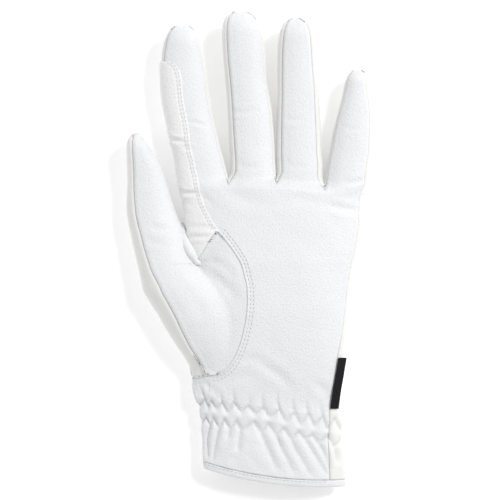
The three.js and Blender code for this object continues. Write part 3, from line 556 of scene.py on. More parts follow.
def straight_row(start, end, shares, side):
    return on_side(mix(start, end, shares[:, None]), side)


def wrap_angle(outline_x, seam_x, width):
    return np.arccos(np.clip(1 - 2 * abs(seam_x - outline_x) / width, -1, 1))


def wrap(outline_x, seam, width):
    """Places from an outline up to the seam above it, without the outline's own."""
    angles = wrap_angle(outline_x, seam[0], width) * spread(WRAP_COLUMNS)[1:]
    reach = width / 2 * (1 - np.cos(angles)) * np.sign(seam[0] - outline_x)
    return on_side(np.column_stack([outline_x + reach, np.full(len(reach), seam[1])]), PALM_SIDE)


def finger_shares(length, step=FINGER_ROW):
    """Close rows along a finger, with the stations of the tables among them."""
    shares = [0.0]
    for start, end in zip(STATIONS, STATIONS[1:]):
        count = max(LEAST_ROWS, round((end - start) * length / step))
        shares += list(np.linspace(start, end, count + 1)[1:])
    return shares


def row_numbers(last, parts, first=0):
    return np.linspace(first, last, round((last - first) * parts) + 1)


print("rows along the middle finger:", len(finger_shares(MIDDLE_LENGTH)))

# %% [markdown]
# ## The relief of the leather
# A sewn seam is a valley, because the edges of both panels are turned in, and the leather beside it
# stands up in a soft roll. A crease is a shorter valley with two low shoulders. The elastic at the
# wrist is held by two rows of zigzag stitching, and the leather puffs up between the stitches. All
# of this is measured from lines on the surface: how high a place stands depends on how far it is
# from the nearest line.

# %% Lines on the surface
# the last value is how wide the painted shade along the middle of a seam is
SEAM_SINK, SEAM_ROLL, SEAM_SHADE_WIDTH = 0.36, 0.42, 0.26
PUFF, PUFF_FROM_SEAM, PUFF_WIDTH = 0.26, 1.8, 1.1
LINE_STEP = 0.25  # mm between the points of a line
SIDE_STEP = 1.0  # and between those of the long seams at the sides
SEAM_LINE_ROW = 1.5
THUMB_LINE, THUMB_UNDER_LINE = 120, 80  # points along the thumb's two seams
LOWEST_THUMB_SEAM = -0.93
LINE_PARTS = 8  # points between two rows of a table


def walked_along(points):
    """How far along a line each of its points is."""
    return np.concatenate([[0], np.cumsum(np.linalg.norm(np.diff(points, axis=0), axis=1))])


def picked(at, walked, values):
    """The points or normals of a line at some distances along it."""
    return np.column_stack([np.interp(at, walked, column) for column in values.T])


def resample(points, step=LINE_STEP):
    """Evenly spaced points along a line."""
    points = np.asarray(points, float)
    walked = walked_along(points)
    return picked(np.linspace(0, walked[-1], max(2, round(walked[-1] / step) + 1)), walked, points)


def soft_line(points):
    """A smooth line through a few points."""
    points = np.asarray(points, float)
    walked = walked_along(points)
    at = np.linspace(0, walked[-1], max(3, round(walked[-1] / LINE_STEP) + 1))
    return np.column_stack([curve(walked, column)(at) for column in points.T])


def lifted(points, side=PALM_SIDE):
    return surface(on_side(resample(points), side))[0]


def tree_of(lines):
    points = np.concatenate(lines)
    tree = KDTree(len(points))
    for i, point in enumerate(points):
        tree.insert(point, i)
    tree.balance()
    return tree


def distances(tree, points):
    return np.array([tree.find(point)[2] for point in points])


def seam_lines():
    shares = finger_shares(MIDDLE_LENGTH, SEAM_LINE_ROW)
    lines = []
    for i, finger in enumerate(fingers):
        for edge, levels in finger.seams.items():
            for level in levels:
                side = PALM_SIDE if level == "above" else BACK_SIDE
                lines.append(lifted([finger_seam(i, edge, level, at) for at in shares], side))
    hem, root_right, root_left = hand_y(CUFF_ROWS["right"][0]), ROOTS[-1][1], ROOTS[0][1]
    left_hem = hand_y(CUFF_ROWS["left"][0])
    for side_line, low, high in (
            (palm_right, hem, root_right), (palm_left, index_seam_start, root_left),
            (cuff_left, left_hem, foot_side[1])):
        lines.append(lifted([side_line(y) for y in np.arange(low, high, SIDE_STEP)]))
    upper_ats = np.linspace(LOWEST_THUMB_SEAM, 1, THUMB_LINE)
    under_ats = np.linspace(0, 1, THUMB_UNDER_LINE)
    lines.append(lifted([thumb_seam(at) for at in upper_ats]))
    lines.append(lifted([thumb_under(at) for at in under_ats], BACK_SIDE))
    numbers = row_numbers(ROOT_ROW, LINE_PARTS)
    lines.append(lifted([under_spot(n) for n in numbers], BACK_SIDE))
    lines.append(lifted([foot_side, foot]))
    lines.append(lifted([foot_side, foot_under], BACK_SIDE))
    return lines


palm_seam_spots = np.array([seam_spot(n) for n in row_numbers(LAST_SEAM_ROW, LINE_PARTS)])
flap_spots = np.array([flap_spot(n) for n in row_numbers(LAST_FLAP_ROW, LINE_PARTS)])
seams = tree_of(seam_lines())
thumb_round = tree_of([lifted(palm_seam_spots), lifted([foot_side, foot])])
flap_seam = tree_of([lifted(flap_spots)])
print("points along the seam in the palm:", len(palm_seam_spots))

# %% [markdown]
# ### The elastic's zigzag
# The two rows were read from the picture peak by peak, as pixels, because their rhythm is uneven as
# on any sewn elastic. Folds fan out from the lower row to the hem, and short ones reach up from the
# upper row. On the back of the glove the same rows run on, mirrored, where nothing shows them.

# %% Zigzag rows and the folds they draw in
UPPER_ZIGZAG = [
    (193, 397), (199, 406), (205, 398), (208, 407), (211, 400), (216, 408), (222, 402), (227, 411),
    (234, 402), (241, 411), (248, 405), (255, 413), (263, 406), (269, 416), (279, 409), (285, 420),
    (294, 412), (300, 423), (308, 413), (314, 425), (322, 416), (327, 428), (334, 418), (341, 430),
]
LOWER_ZIGZAG = [
    (200, 424), (206, 417), (210, 425), (213, 417), (219, 427), (224, 419), (230, 428), (236, 420),
    (241, 429), (254, 421), (261, 431), (268, 423), (276, 434), (283, 427), (291, 438), (298, 431),
    (305, 438), (312, 434), (318, 442), (327, 435), (334, 446), (342, 438),
]
HEM_FOLDS = [
    [(210, 425), (207, 440), (208, 455)],
    [(219, 427), (216, 440), (213, 457)],
    [(230, 428), (228, 435)],
    [(241, 429), (239, 438), (238, 447)],
    [(261, 431), (266, 444), (272, 458), (276, 466)],
    [(276, 434), (281, 447), (287, 458), (292, 469)],
    [(291, 438), (296, 450), (303, 461), (309, 472)],
    [(305, 438), (312, 450), (320, 463), (326, 472)],
    [(318, 442), (324, 453), (329, 466)],
    [(334, 446), (337, 460)],
]
HAND_FOLDS = [
    [(222, 402), (220, 392)], [(234, 402), (233, 388)], [(248, 405), (250, 394)],
    [(263, 406), (262, 396), (263, 386)], [(279, 409), (277, 398), (277, 387)],
    [(294, 412), (292, 400), (293, 390)], [(308, 413), (306, 402), (307, 392)],
    [(322, 416), (320, 404), (321, 394)], [(205, 398), (201, 388), (197, 378)],
]
ZIGZAG_SINK, ZIGZAG_WIDTH = 0.7, 0.6
# painted shade along the zigzags and folds: how dark, and how wide
ZIGZAG_PAINTED_SHADE, ZIGZAG_SHADE_WIDTH = 1.15, 0.45
POCKET_HEIGHT, POCKET_WIDTH = 0.9, 2.0
POCKET_UNEVEN, POCKET_LONG = 0.35, 5.0
GATHER_REACH, GATHER_FADE = 14, 12  # how far above the upper row the pockets reach and fade
HEM_POCKETS, HEM_FADE_Y, HEM_FADE = 0.55, -96, 18  # they are lower near the hem
BELOW_HEM_Y = -104
HEM_FOLD_ENDS, HAND_FOLD_ENDS = (1, 0.45), (0.9, 0.1)  # strength at the two ends of a fold
zigzags = [np.array([spot(*p) for p in row]) for row in (UPPER_ZIGZAG, LOWER_ZIGZAG)]
folds = [soft_line([spot(*p) for p in line]) for line in HEM_FOLDS + HAND_FOLDS]
network = [resample(zigzag) for zigzag in zigzags] + folds


def network_tree(side):
    return tree_of([surface(on_side(line, side))[0] for line in network])


gathers = {side: network_tree(side) for side in (PALM_SIDE, BACK_SIDE)}
fades = ([(1, 1)] * len(zigzags) + [HEM_FOLD_ENDS] * len(HEM_FOLDS)
         + [HAND_FOLD_ENDS] * len(HAND_FOLDS))
strength = np.concatenate([np.linspace(*ends, len(line)) for ends, line in zip(fades, network)])
print("lines in the gathers:", len(network))


# %% Press the folds in
def gather_relief(places, points):
    """The puckers of the wrist: valleys at the lines, soft pockets between them, and a painted shade
    along the lines.
    """
    heights, painted_shade = np.zeros(len(places)), np.zeros(len(places))
    upper = np.interp(places[:, 0], zigzags[0][:, 0], zigzags[0][:, 1])
    y = places[:, 1]
    near = (y < upper + GATHER_REACH) & (y > BELOW_HEM_Y)
    window = smooth((upper + GATHER_FADE - y) / GATHER_FADE)
    window *= mix(HEM_POCKETS, 1, smooth((y - HEM_FADE_Y) / HEM_FADE))
    for i in np.nonzero(near)[0]:
        side = PALM_SIDE if places[i, 2] > 0 else BACK_SIDE
        _, k, d = gathers[side].find(points[i])
        pull = strength[k]
        uneven = 1 + POCKET_UNEVEN * noise(Vector(points[i]) / POCKET_LONG)
        pocket = POCKET_HEIGHT * uneven * (1 - bell(d, POCKET_WIDTH))
        heights[i] = window[i] * pocket - ZIGZAG_SINK * pull * bell(d, ZIGZAG_WIDTH)
        # painted shade, darkest at the line
        painted_shade[i] = ZIGZAG_PAINTED_SHADE * pull**2 * bell(d, ZIGZAG_SHADE_WIDTH)
    return heights, painted_shade


print("corners of the zigzags:", sum(len(zigzag) for zigzag in zigzags))


# %% [markdown]
# ### Creases
# Creases lie where the hand bends: across the index finger's joints, under the little finger and
# beside the thumb. Each is a line of a few pixels, with how deep and how wide it is in millimetres.

# %% Creases
SHOULDER, SHOULDER_AT = 0.45, 2  # the low shoulders beside a crease, in its own widths
CREASE_REACH = 3.5
CREASE_TAPER, CREASE_TIP = 0.6, 0.02
CREASES = [
    ([(157, 127), (163, 131), (170, 137), (178, 141), (187, 142)], 1.1, 1.0),
    ([(168, 183), (174, 186), (181, 190), (188, 193), (197, 193)], 1.0, 1.0),
    ([(180, 142), (188, 149), (196, 151)], 0.25, 1.2),
    ([(178, 205), (186, 203), (193, 205)], 0.3, 1.1),
    ([(188, 122), (197, 124), (208, 127)], 0.3, 1.0),
    ([(184, 240), (192, 237), (201, 237), (211, 236)], 0.5, 1.0),
    ([(184, 229), (194, 227), (206, 227), (216, 231)], 0.35, 1.2),
    ([(199, 195), (206, 199), (214, 205)], 0.3, 1.4),
    ([(230, 111), (238, 114), (247, 113), (256, 110)], 0.3, 1.4),
    ([(229, 120), (237, 121), (246, 119)], 0.18, 1.3),
    ([(282, 118), (292, 121), (303, 119)], 0.22, 1.5),
    ([(284, 163), (295, 167), (308, 166)], 0.2, 1.5),
    ([(236, 163), (248, 168), (262, 166)], 0.25, 1.6),
    ([(341, 180), (350, 183), (360, 181), (367, 176)], 0.4, 1.3),
    ([(326, 205), (338, 208), (350, 210), (359, 211)], 0.5, 1.8),
    ([(341, 127), (350, 130), (360, 128)], 0.2, 1.4),
    ([(222, 186), (238, 197), (256, 203), (276, 205)], 0.35, 3.2),
    ([(276, 203), (296, 199), (314, 202), (332, 208)], 0.25, 2.8),
    ([(206, 268), (216, 277), (228, 288), (238, 300)], 0.65, 2.6),
    ([(208, 254), (216, 262), (226, 270), (236, 282)], 0.35, 2.0),
    ([(150, 225), (160, 229), (172, 228)], 0.35, 1.8),
    ([(146, 237), (156, 243), (170, 244)], 0.25, 1.8),
    ([(183, 284), (196, 300), (206, 322)], 0.3, 3.0),
    ([(252, 359), (264, 365), (277, 373), (292, 388)], 0.5, 2.4),
    ([(225, 384), (238, 376), (252, 372)], 0.3, 2.6),
    ([(313, 380), (322, 388), (329, 398)], 0.4, 2.2),
    ([(238, 362), (252, 357), (268, 359)], 0.25, 2.2),
    ([(200, 380), (209, 386), (216, 394)], 0.4, 1.6),
    ([(232, 250), (240, 262), (246, 276)], 0.2, 1.8),
    ([(205, 262), (214, 263), (224, 262)], 0.2, 1.5),
]
crease_lines = [soft_line([spot(*p) for p in line]) for line, _, _ in CREASES]


def crease_relief(places):
    heights = np.zeros(len(places))
    for line, (_, deep, wide) in zip(crease_lines, CREASES):
        reach = CREASE_REACH * wide
        low, high = line.min(axis=0) - reach, line.max(axis=0) + reach
        inside = np.all((places[:, :2] > low) & (places[:, :2] < high), axis=1) & (places[:, 2] > 0)
        near = np.nonzero(inside)[0]
        if len(near) == 0:
            continue
        away = np.linalg.norm(places[near, None, :2] - line[None], axis=2)
        nearest = away.argmin(axis=1)
        d = away[np.arange(len(near)), nearest] / wide
        along = nearest / (len(line) - 1)
        taper = np.sin(np.pi * np.clip(along, CREASE_TIP, 1 - CREASE_TIP)) ** CREASE_TAPER
        heights[near] -= deep * taper * (bell(d, 1) - SHOULDER * bell(d - SHOULDER_AT, 1))
    return heights


print("creases:", len(CREASES))

# %% [markdown]
# ### Valleys, laps and tucks
# At most seams both edges are turned in and leave a valley. Beside the thumb one panel's turned edge
# lies on the other, so it stands up a little, while its neighbour runs down below it. A soft
# unevenness, from smooth noise at two sizes, keeps the leather from looking like moulded plastic.

# %% Valleys, laps and tucks
LAP_RISE, LAP_WIDTH, LAP_EDGE, LAP_ROUND = 0.34, 1.0, 0.1, 0.25
FLAP_RISE = 0.95  # the flap at the thumb's root stands up higher
TUCK, TUCK_WIDTH = 0.42, 1.7
WAVES = [(0.3, 24.0), (0.14, 9.0)]  # height and length of the leather's soft unevenness


def waves(points, long):
    """Smooth noise at some points, with waves of a length."""
    return np.array([noise(Vector(point) / long) for point in points])


def wave_relief(points):
    return sum(high * waves(points, long) for high, long in WAVES)


def seam_relief(points):
    d = distances(seams, points)
    puff = PUFF * bell(d - PUFF_FROM_SEAM, PUFF_WIDTH)
    # the second value is a painted shade, darkest in the middle of the seam
    return puff - SEAM_SINK * bell(d, SEAM_ROLL), bell(d, SEAM_SHADE_WIDTH)


def lap_relief(points, tree, rise):
    """A turned edge that lies on the panel beside it and stands up a little."""
    d = distances(tree, points)
    return rise * bell(d, LAP_WIDTH) - LAP_EDGE * bell(d, LAP_ROUND)


def tuck_relief(points, tree):
    """Leather that runs under the turned edge of its neighbour."""
    return -TUCK * bell(distances(tree, points), TUCK_WIDTH)


def leather_relief(places, points, over=(), under=(), rise=LAP_RISE):
    """All that shapes a panel, and a painted shade for how deep in a seam or gather a place is.

    over: seams where this panel's edge lies on its neighbour. under: where it runs below it."""
    heights, painted_shade = seam_relief(points)
    for tree in under:
        heights += tuck_relief(points, tree)
    for tree in over:
        heights += lap_relief(points, tree, rise)
    # the gathers also give their painted shade along the zigzags and folds
    gathered, gather_painted_shade = gather_relief(places, points)
    heights += gathered + crease_relief(places) + wave_relief(points)
    return heights, np.maximum(painted_shade, gather_painted_shade)


def palm_relief(places, points):
    return leather_relief(places, points, over=[thumb_round], under=[flap_seam])


def thumb_relief(places, points):
    return leather_relief(places, points, over=[flap_seam], rise=FLAP_RISE)


print("waves in the leather:", len(WAVES))

# %% [markdown]
# ## From rows to a sheet of leather
# The rows of a panel become one mesh. Places that fall on the same point are merged, the edge is
# drawn back a little so that neighbouring panels leave the fine dark line of a seam, and a Solidify
# modifier gives the leather its thickness on the inside. A plain extrusion would do the same, but
# the modifier keeps the outer face easy to change.

# %% A sheet from its rows
LEATHER = 0.9  # thickness of the panels
SEAM_GAP = 0.1
SHARPEST_CORNER = 0.35  # keeps a sharp corner's places from being drawn back too far
materials = {}  # each finish, by the name of its slot


def grid_faces(rows, offset):
    """The four-cornered faces between rows of equal length, as numbers of their places."""
    high, wide = len(rows), len(rows[0])
    number = offset + np.arange(high * wide).reshape(high, wide)
    corners = (number[:-1, :-1], number[:-1, 1:], number[1:, 1:], number[1:, :-1])
    return np.stack([corner.ravel() for corner in corners], axis=1)


def draw_back(points, normals, faces, gap):
    """Draws the open edges back from the seam."""
    open_edges = {}
    for face in faces:
        for a, b in zip(face, face[1:] + face[:1]):
            if open_edges.pop((b, a), None) is None:
                open_edges[(a, b)] = True
    moves = {}
    for a, b in open_edges:
        inward = np.cross(normals[a], points[b] - points[a])
        length = np.linalg.norm(inward)
        if length > 0:
            for i in (a, b):
                moves.setdefault(i, []).append(inward / length)
    for i, directions in moves.items():
        mean = np.mean(directions, axis=0)
        points[i] += mean * gap / 2 / max(mean @ mean, SHARPEST_CORNER)


def make_piece(name, slot, points, faces, painted_shade=None):
    """A piece from points in millimetres, with a painted shade for how deep in a seam each one lies.
    """
    mesh = bpy.data.meshes.new(name)
    mesh.from_pydata((points * MM).tolist(), [], faces)
    mesh.shade_smooth()
    if painted_shade is not None:
        mesh.attributes.new("painted_shade", "FLOAT", "POINT").data.foreach_set("value", painted_shade)
    mesh.update()
    mesh.materials.append(materials[slot])
    piece = bpy.data.objects.new(name, mesh)
    bpy.context.scene.collection.objects.link(piece)
    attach(piece, "root")
    return piece


def sheet(name, slot, grids, relief=leather_relief, lift=0.0, gap=SEAM_GAP, thickness=LEATHER):
    """A panel of leather from grids of places, pressed by the relief."""
    offset, faces = 0, []
    for rows in grids:
        faces.append(grid_faces(rows, offset))
        offset += len(rows) * len(rows[0])
    places = np.concatenate([row for rows in grids for row in rows])
    points, normals = surface(places)
    _, first, same = np.unique(points.round(3), axis=0, return_index=True, return_inverse=True)
    same = same.ravel()
    places, points, normals = places[first], points[first], normals[first]
    joined = [list(dict.fromkeys(face)) for face in same[np.concatenate(faces)].tolist()]
    joined = [face for face in joined if len(face) > 2]
    draw_back(points, normals, joined, gap)
    heights, painted_shade = relief(places, points)
    pressed = points + normals * (heights + lift)[:, None]
    pressed[:, 2] = np.maximum(pressed[:, 2], 0)  # the floor holds the underside flat
    piece = make_piece(name, slot, pressed, joined, painted_shade)
    wall = piece.modifiers.new("leather", "SOLIDIFY")
    wall.thickness = thickness * MM
    wall.offset = -1
    print(f"{name}: {len(joined)} faces")
    return piece


# %% [markdown]
# ## Materials
# The leather is a fine synthetic one. Its grain is a pebble of less than a millimetre, too fine for
# geometry, so it is bump from a cell texture, in one node group that the palm, the back, the patch
# and the binding share with their own values. The group also gives the colour: a little cloudiness,
# and a painted shade in the depth of seams, gathers and stitch grooves, where the light reaches less.


# %% Helpers for nodes
def fill(tree, socket, value):
    """Sets a socket, or links it to another node's."""
    if isinstance(value, bpy.types.NodeSocket):
        tree.links.new(value, socket)
    else:
        socket.default_value = value


def node(tree, kind, sockets=None, **settings):
    made = tree.nodes.new(kind)
    for name, value in settings.items():
        setattr(made, name, value)
    for name, value in (sockets or {}).items():
        fill(tree, made.inputs[name], value)
    return made


def new_group(name, inputs, outputs):
    tree = bpy.data.node_groups.new(name, "ShaderNodeTree")
    for title, kind, value in inputs:
        socket = tree.interface.new_socket(title, in_out="INPUT", socket_type=kind)
        socket.default_value = value
    for title, kind in outputs:
        tree.interface.new_socket(title, in_out="OUTPUT", socket_type=kind)
    return tree, node(tree, "NodeGroupInput").outputs, node(tree, "NodeGroupOutput").inputs


def blend(tree, kind, share, low, high):
    """A mix of two colours or values, by a share that may be a socket."""
    made = node(tree, "ShaderNodeMix", data_type=kind)
    of_colours = kind == "RGBA"
    for number, value in zip((0, 6, 7) if of_colours else (0, 2, 3), (share, low, high)):
        fill(tree, made.inputs[number], value)
    return made.outputs[2 if of_colours else 0]


def calculate(tree, operation, *values):
    made = node(tree, "ShaderNodeMath", operation=operation)
    for socket, value in zip(made.inputs, values):
        fill(tree, socket, value)
    return made.outputs[0]


print("node groups so far:", len(bpy.data.node_groups))


# %% The leather's node group
# the last of these is how far the painted shade in seams, gathers and grooves darkens the leather
CLOUDY, SPECKLED, PAINTED_SEAM_SHADE = 0.16, 0.22, 0.36  # how far each of them shades the leather
FIBRES = 0.3  # the fibres' share of the grain
UNEVEN_GLOSS = 0.14


def make_leather_group():
    tree, given, out = new_group(
        "fine_leather",
        [("Colour", "NodeSocketColor", (1, 1, 1, 1)), ("Shade", "NodeSocketColor", (0.5, 0.5, 0.5, 1)),
         ("Grain Scale", "NodeSocketFloat", 1250), ("Roughness", "NodeSocketFloat", 0.5)],
        [("Colour", "NodeSocketColor"), ("Roughness", "NodeSocketFloat"),
         ("Height", "NodeSocketFloat")],
    )
    place = node(tree, "ShaderNodeTexCoord").outputs["Object"]
    pebbles = {"Vector": place, "Scale": given["Grain Scale"], "Smoothness": 0.6}
    grain = node(tree, "ShaderNodeTexVoronoi", pebbles, feature="SMOOTH_F1").outputs["Distance"]
    fibres = node(tree, "ShaderNodeTexNoise", {"Vector": place, "Scale": 3200, "Detail": 2}).outputs[0]
    clouds = node(tree, "ShaderNodeTexNoise", {"Vector": place, "Scale": 38, "Detail": 4}).outputs[0]
    # painted shade: an attribute of the mesh, darker in the depth of seams, gathers and stitch grooves
    painted_shade = node(tree, "ShaderNodeAttribute", attribute_name="painted_shade").outputs["Fac"]
    soiled = calculate(tree, "ADD", calculate(tree, "MULTIPLY", clouds, CLOUDY),
                       calculate(tree, "MULTIPLY", grain, SPECKLED))
    toned = blend(tree, "RGBA", soiled, given["Colour"], given["Shade"])
    # the painted shade pulls the colour towards the darker tone
    deep = calculate(tree, "MULTIPLY", painted_shade, PAINTED_SEAM_SHADE)
    fill(tree, out["Colour"], blend(tree, "RGBA", deep, toned, given["Shade"]))
    worn = calculate(tree, "MULTIPLY_ADD", clouds, UNEVEN_GLOSS, given["Roughness"])
    fill(tree, out["Roughness"], worn)
    raised = calculate(tree, "SUBTRACT", 1.0, grain)
    fill(tree, out["Height"], blend(tree, "FLOAT", FIBRES, raised, fibres))
    return tree


fine_leather = make_leather_group()
print("sockets of the leather group:", [item.name for item in fine_leather.interface.items_tree])


# %% The leathers
GRAIN_DEPTH = 0.0003  # in metres


def new_material(name, constants):
    """A material with values that are the same all over it, kept under the name of its slot."""
    material = materials[name] = bpy.data.materials.new(name)
    material.use_nodes = True
    shader = material.node_tree.nodes["Principled BSDF"]
    for title, value in constants.items():
        shader.inputs[title].default_value = value
    return material.node_tree, shader


def press(tree, shader, height, strength, distance):
    """Shows a relief that is too fine for the mesh."""
    bump = node(tree, "ShaderNodeBump", {"Height": height, "Strength": strength, "Distance": distance})
    fill(tree, shader.inputs["Normal"], bump.outputs["Normal"])


def leather(name, colour, shade, grain=1150, bump=1.0):
    tree, shader = new_material(
        name, {"Specular IOR Level": 0.35, "Sheen Weight": 0.1, "Sheen Roughness": 0.5})
    group = node(tree, "ShaderNodeGroup", node_tree=fine_leather)
    for title, value in {"Colour": (*colour, 1), "Shade": (*shade, 1), "Grain Scale": grain,
                         "Roughness": 0.46}.items():
        fill(tree, group.inputs[title], value)
    fill(tree, shader.inputs["Base Color"], group.outputs["Colour"])
    fill(tree, shader.inputs["Roughness"], group.outputs["Roughness"])
    press(tree, shader, group.outputs["Height"], bump, GRAIN_DEPTH)


leather("palm_leather", (0.852, 0.855, 0.86), (0.54, 0.545, 0.56))
leather("back_leather", (0.872, 0.87, 0.857), (0.55, 0.543, 0.52), grain=1500, bump=0.4)
# The patch's colour is lighter than the palm's: painted light, for the lamp's light that its slope
# turns away from.
leather("patch_leather", (0.945, 0.945, 0.94), (0.6, 0.6, 0.59))
leather("binding_leather", (0.86, 0.863, 0.868), (0.55, 0.55, 0.56), grain=1500)
print("leathers made:", list(materials))

# %% [markdown]
# ## The palm
# The palm and the fronts of the four fingers are cut in one piece. The rows start above the hem,
# pass the thumb's seam, and part into the four fingers at the knuckles.

# %% Rows of the palm
finger_columns = spread(FINGER_COLUMNS)


def beside_each_other(shares, count):
    """The shares of one finger's columns, for a row over several fingers."""
    return np.concatenate([[0]] + [(shares[1:] + i) / count for i in range(count)])


palm_columns = beside_each_other(finger_columns, len(FINGERS) - 1)
CUFF_PARTS = 9  # rows between two rows of the table
SEAM_PARTS = 6
THUMB_FOOT_ROWS, KNUCKLE_ROWS = 12, 40  # below the thumb's seam, and from the flap to the fingers
FLAP_START = 0.5


def hang(row, number):
    """The hem's rows hang in a bow."""
    bow = HEM_BOW * (1 - smooth(number / LAST_CUFF_ROW))
    share = (row[:, 0] - row[0, 0]) / (row[-1, 0] - row[0, 0])
    row = row.copy()
    row[:, 1] -= bow * 4 * share * (1 - share)
    return row


def cuff_palm_row(number, down=0.0):
    start = cuff_left(hand_y(cuff_row.left(number)) - down)
    end = palm_right(hand_y(cuff_row.right(number)) - down)
    return hang(row_of(start, end, palm_columns, PALM_SIDE, start[0], hand_right(end[1])), number)


def beside_row(number):
    start, end = seam_spot(number), palm_right(hand_y(seam_row.right(number)))
    return row_of(start, end, palm_columns, PALM_SIDE, hand_left(start[1]), hand_right(end[1]))


def between(lower, upper, count):
    """Rows between two rows, without the first."""
    rows = [mix(lower, upper, share) for share in np.linspace(0, 1, count + 1)[1:]]
    for row in rows:
        row[:, 2] = upper[:, 2]
    return rows


def moved_to(row, start, end):
    """A row with its ends on given spots."""
    row = row.copy()
    along = np.linspace(0, 1, len(row))
    row[:, 0] += mix(start[0] - row[0, 0], end[0] - row[-1, 0], along)
    return row


def finger_row(i, at, side, shares):
    finger = fingers[i]
    ends = []
    for edge in ("left", "right"):
        if side == BACK_SIDE and finger.outer[edge]:
            ends.append(finger_outline(finger, edge, at))
        else:
            ends.append(finger_seam(i, edge, "above" if side == PALM_SIDE else "below", at))
    left, right = (finger_outline(finger, edge, at)[0] for edge in ("left", "right"))
    return row_of(*ends, shares, side, left, right)


def joined_rows(rows):
    return np.concatenate([rows[0]] + [row[1:] for row in rows[1:]])


def palm_grids():
    cuff = [cuff_palm_row(n) for n in row_numbers(LAST_CUFF_ROW, CUFF_PARTS)]
    beside = [beside_row(n) for n in row_numbers(LAST_SEAM_ROW, SEAM_PARTS)]
    flap = [flap_spot(n) for n in np.linspace(FLAP_START, LAST_FLAP_ROW, len(finger_columns))]
    flap[0] = palm_left(index_seam_start)
    corner = np.concatenate([on_side(np.array(flap), PALM_SIDE), beside[-1][1:]])
    roots = joined_rows([finger_row(i, 0, PALM_SIDE, finger_columns) for i in range(len(FINGERS))])
    upper = [corner]
    for share in np.linspace(0, 1, KNUCKLE_ROWS + 1)[1:-1]:
        start = palm_left(mix(corner[0, 1], roots[0, 1], share))
        end = palm_right(mix(corner[-1, 1], roots[-1, 1], share))
        upper.append(moved_to(mix(corner, roots, share), start, end))
    upper.append(roots)
    grids = [cuff + between(cuff[-1], beside[0], THUMB_FOOT_ROWS) + beside[1:], upper]
    for i, finger in enumerate(fingers):
        shares = finger_shares(finger.length)
        grids.append([finger_row(i, at, PALM_SIDE, finger_columns) for at in shares])
    return grids


palm = sheet("palm", "palm_leather", palm_grids(), relief=palm_relief)
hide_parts("palm_panel")

# %% [markdown]
# ## The back
# The back of the glove turns over the outer sides of the hand, the index and the little finger, up
# to the seams that show from the palm's side. Its underside lies flat on the floor.

# %% Rows of the back
back_finger_columns = spread(BACK_FINGER_COLUMNS)
back_columns = beside_each_other(back_finger_columns, len(FINGERS))
BACK_SEAM_PARTS = 4
BACK_FOOT_ROWS, BACK_KNUCKLE_ROWS = 8, 25
BACK_FINGER_ROW = 1.1  # mm between rows, wider than on the palm


def back_row(right_y, end, outline_left):
    start = np.array([hand_right(right_y), right_y])
    turned = wrap(start[0], palm_right(right_y), HAND_WIDTH)[::-1]
    return turned, row_of(start, end, back_columns, BACK_SIDE, outline_left, start[0])


def cuff_back_row(number, down=0.0):
    end = cuff_left(hand_y(cuff_row.left(number)) - down)
    turned, flat = back_row(hand_y(cuff_row.right(number)) - down, end, end[0])
    return np.concatenate([turned, hang(flat, number)])


def back_beside_row(number):
    notch = np.array([hand_left(index_seam_start), index_seam_start])
    end = under_spot(number) if number < ROOT_ROW else notch
    right_y = float(hand_y(seam_row.right(number)))
    turned, flat = back_row(right_y, end, min(end[0], float(hand_left(end[1]))))
    return np.concatenate([turned, flat])


def back_grids():
    cuff = [cuff_back_row(n) for n in row_numbers(LAST_CUFF_ROW, CUFF_PARTS)]
    beside = [back_beside_row(n) for n in row_numbers(LAST_SEAM_ROW, BACK_SEAM_PARTS)]
    top = beside[-1][len(beside[-1]) - len(back_columns):]
    shares = back_finger_columns
    roots = joined_rows([
        finger_row(i, 0, BACK_SIDE, shares)[::-1] for i in reversed(range(len(FINGERS)))])
    upper = []
    for share in np.linspace(0, 1, BACK_KNUCKLE_ROWS + 1):
        right_y = mix(palm_right(hand_y(THUMB_SEAM["right"][-1]))[1], ROOTS[-1][1], share)
        left_y = mix(index_seam_start, ROOTS[0][1], share)
        start, end = (hand_right(right_y), right_y), (hand_left(left_y), left_y)
        flat = moved_to(mix(top, roots, share), start, end)
        upper.append(np.concatenate([
            wrap(start[0], palm_right(right_y), HAND_WIDTH)[::-1], flat,
            wrap(end[0], palm_left(left_y), HAND_WIDTH),
        ]))
    grids = [cuff + between(cuff[-1], beside[0], BACK_FOOT_ROWS) + beside[1:], upper]
    for i, finger in enumerate(fingers):
        rows = []
        for share in finger_shares(finger.length, BACK_FINGER_ROW):
            around = {}
            for edge in ("left", "right"):
                if finger.outer[edge]:
                    outline = finger_outline(finger, edge, share)[0]
                    width = mix(HAND_WIDTH, finger.width, min(1, share / STATIONS[1]))
                    around[edge] = wrap(outline, finger_seam(i, edge, "above", share), width)
            flat = finger_row(i, share, BACK_SIDE, shares)[::-1]
            parts = [around["right"][::-1]] if "right" in around else []
            parts += [flat] + ([around["left"]] if "left" in around else [])
            rows.append(np.concatenate(parts))
        grids.append(rows)
    return grids


back = sheet("back", "back_leather", back_grids())
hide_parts("back_panel")

# %% [markdown]
# ## The thumb
# The thumb has a front and a back panel. The front reaches into the palm with a rounded horn, so
# that the thumb can swing across the hand without pulling at the palm.

# %% Rows of the thumb
THUMB_COLUMNS = 30
THUMB_BACK_COLUMNS = 34
THUMB_PARTS = 6
TURNED_COLUMNS = 5
FOOT_ROWS = 8
LEAST_THUMB_ROWS = 4  # between two rows of the table
thumb_ats = sorted(set(np.concatenate([
    np.linspace(a, b, max(LEAST_THUMB_ROWS, round((b - a) * THUMB_LENGTH / FINGER_ROW)) + 1)
    for a, b in zip(THUMB["at"][ROOT_ROW:], THUMB["at"][ROOT_ROW + 1:])
]).round(6)))


def thumb_start(number):
    """The thumb's left seam, level with a row of the seam in the palm."""
    if number < 1:
        return mix(foot, thumb_seam(seam_row.thumb(1)), number)
    return thumb_seam(seam_row.thumb(number))


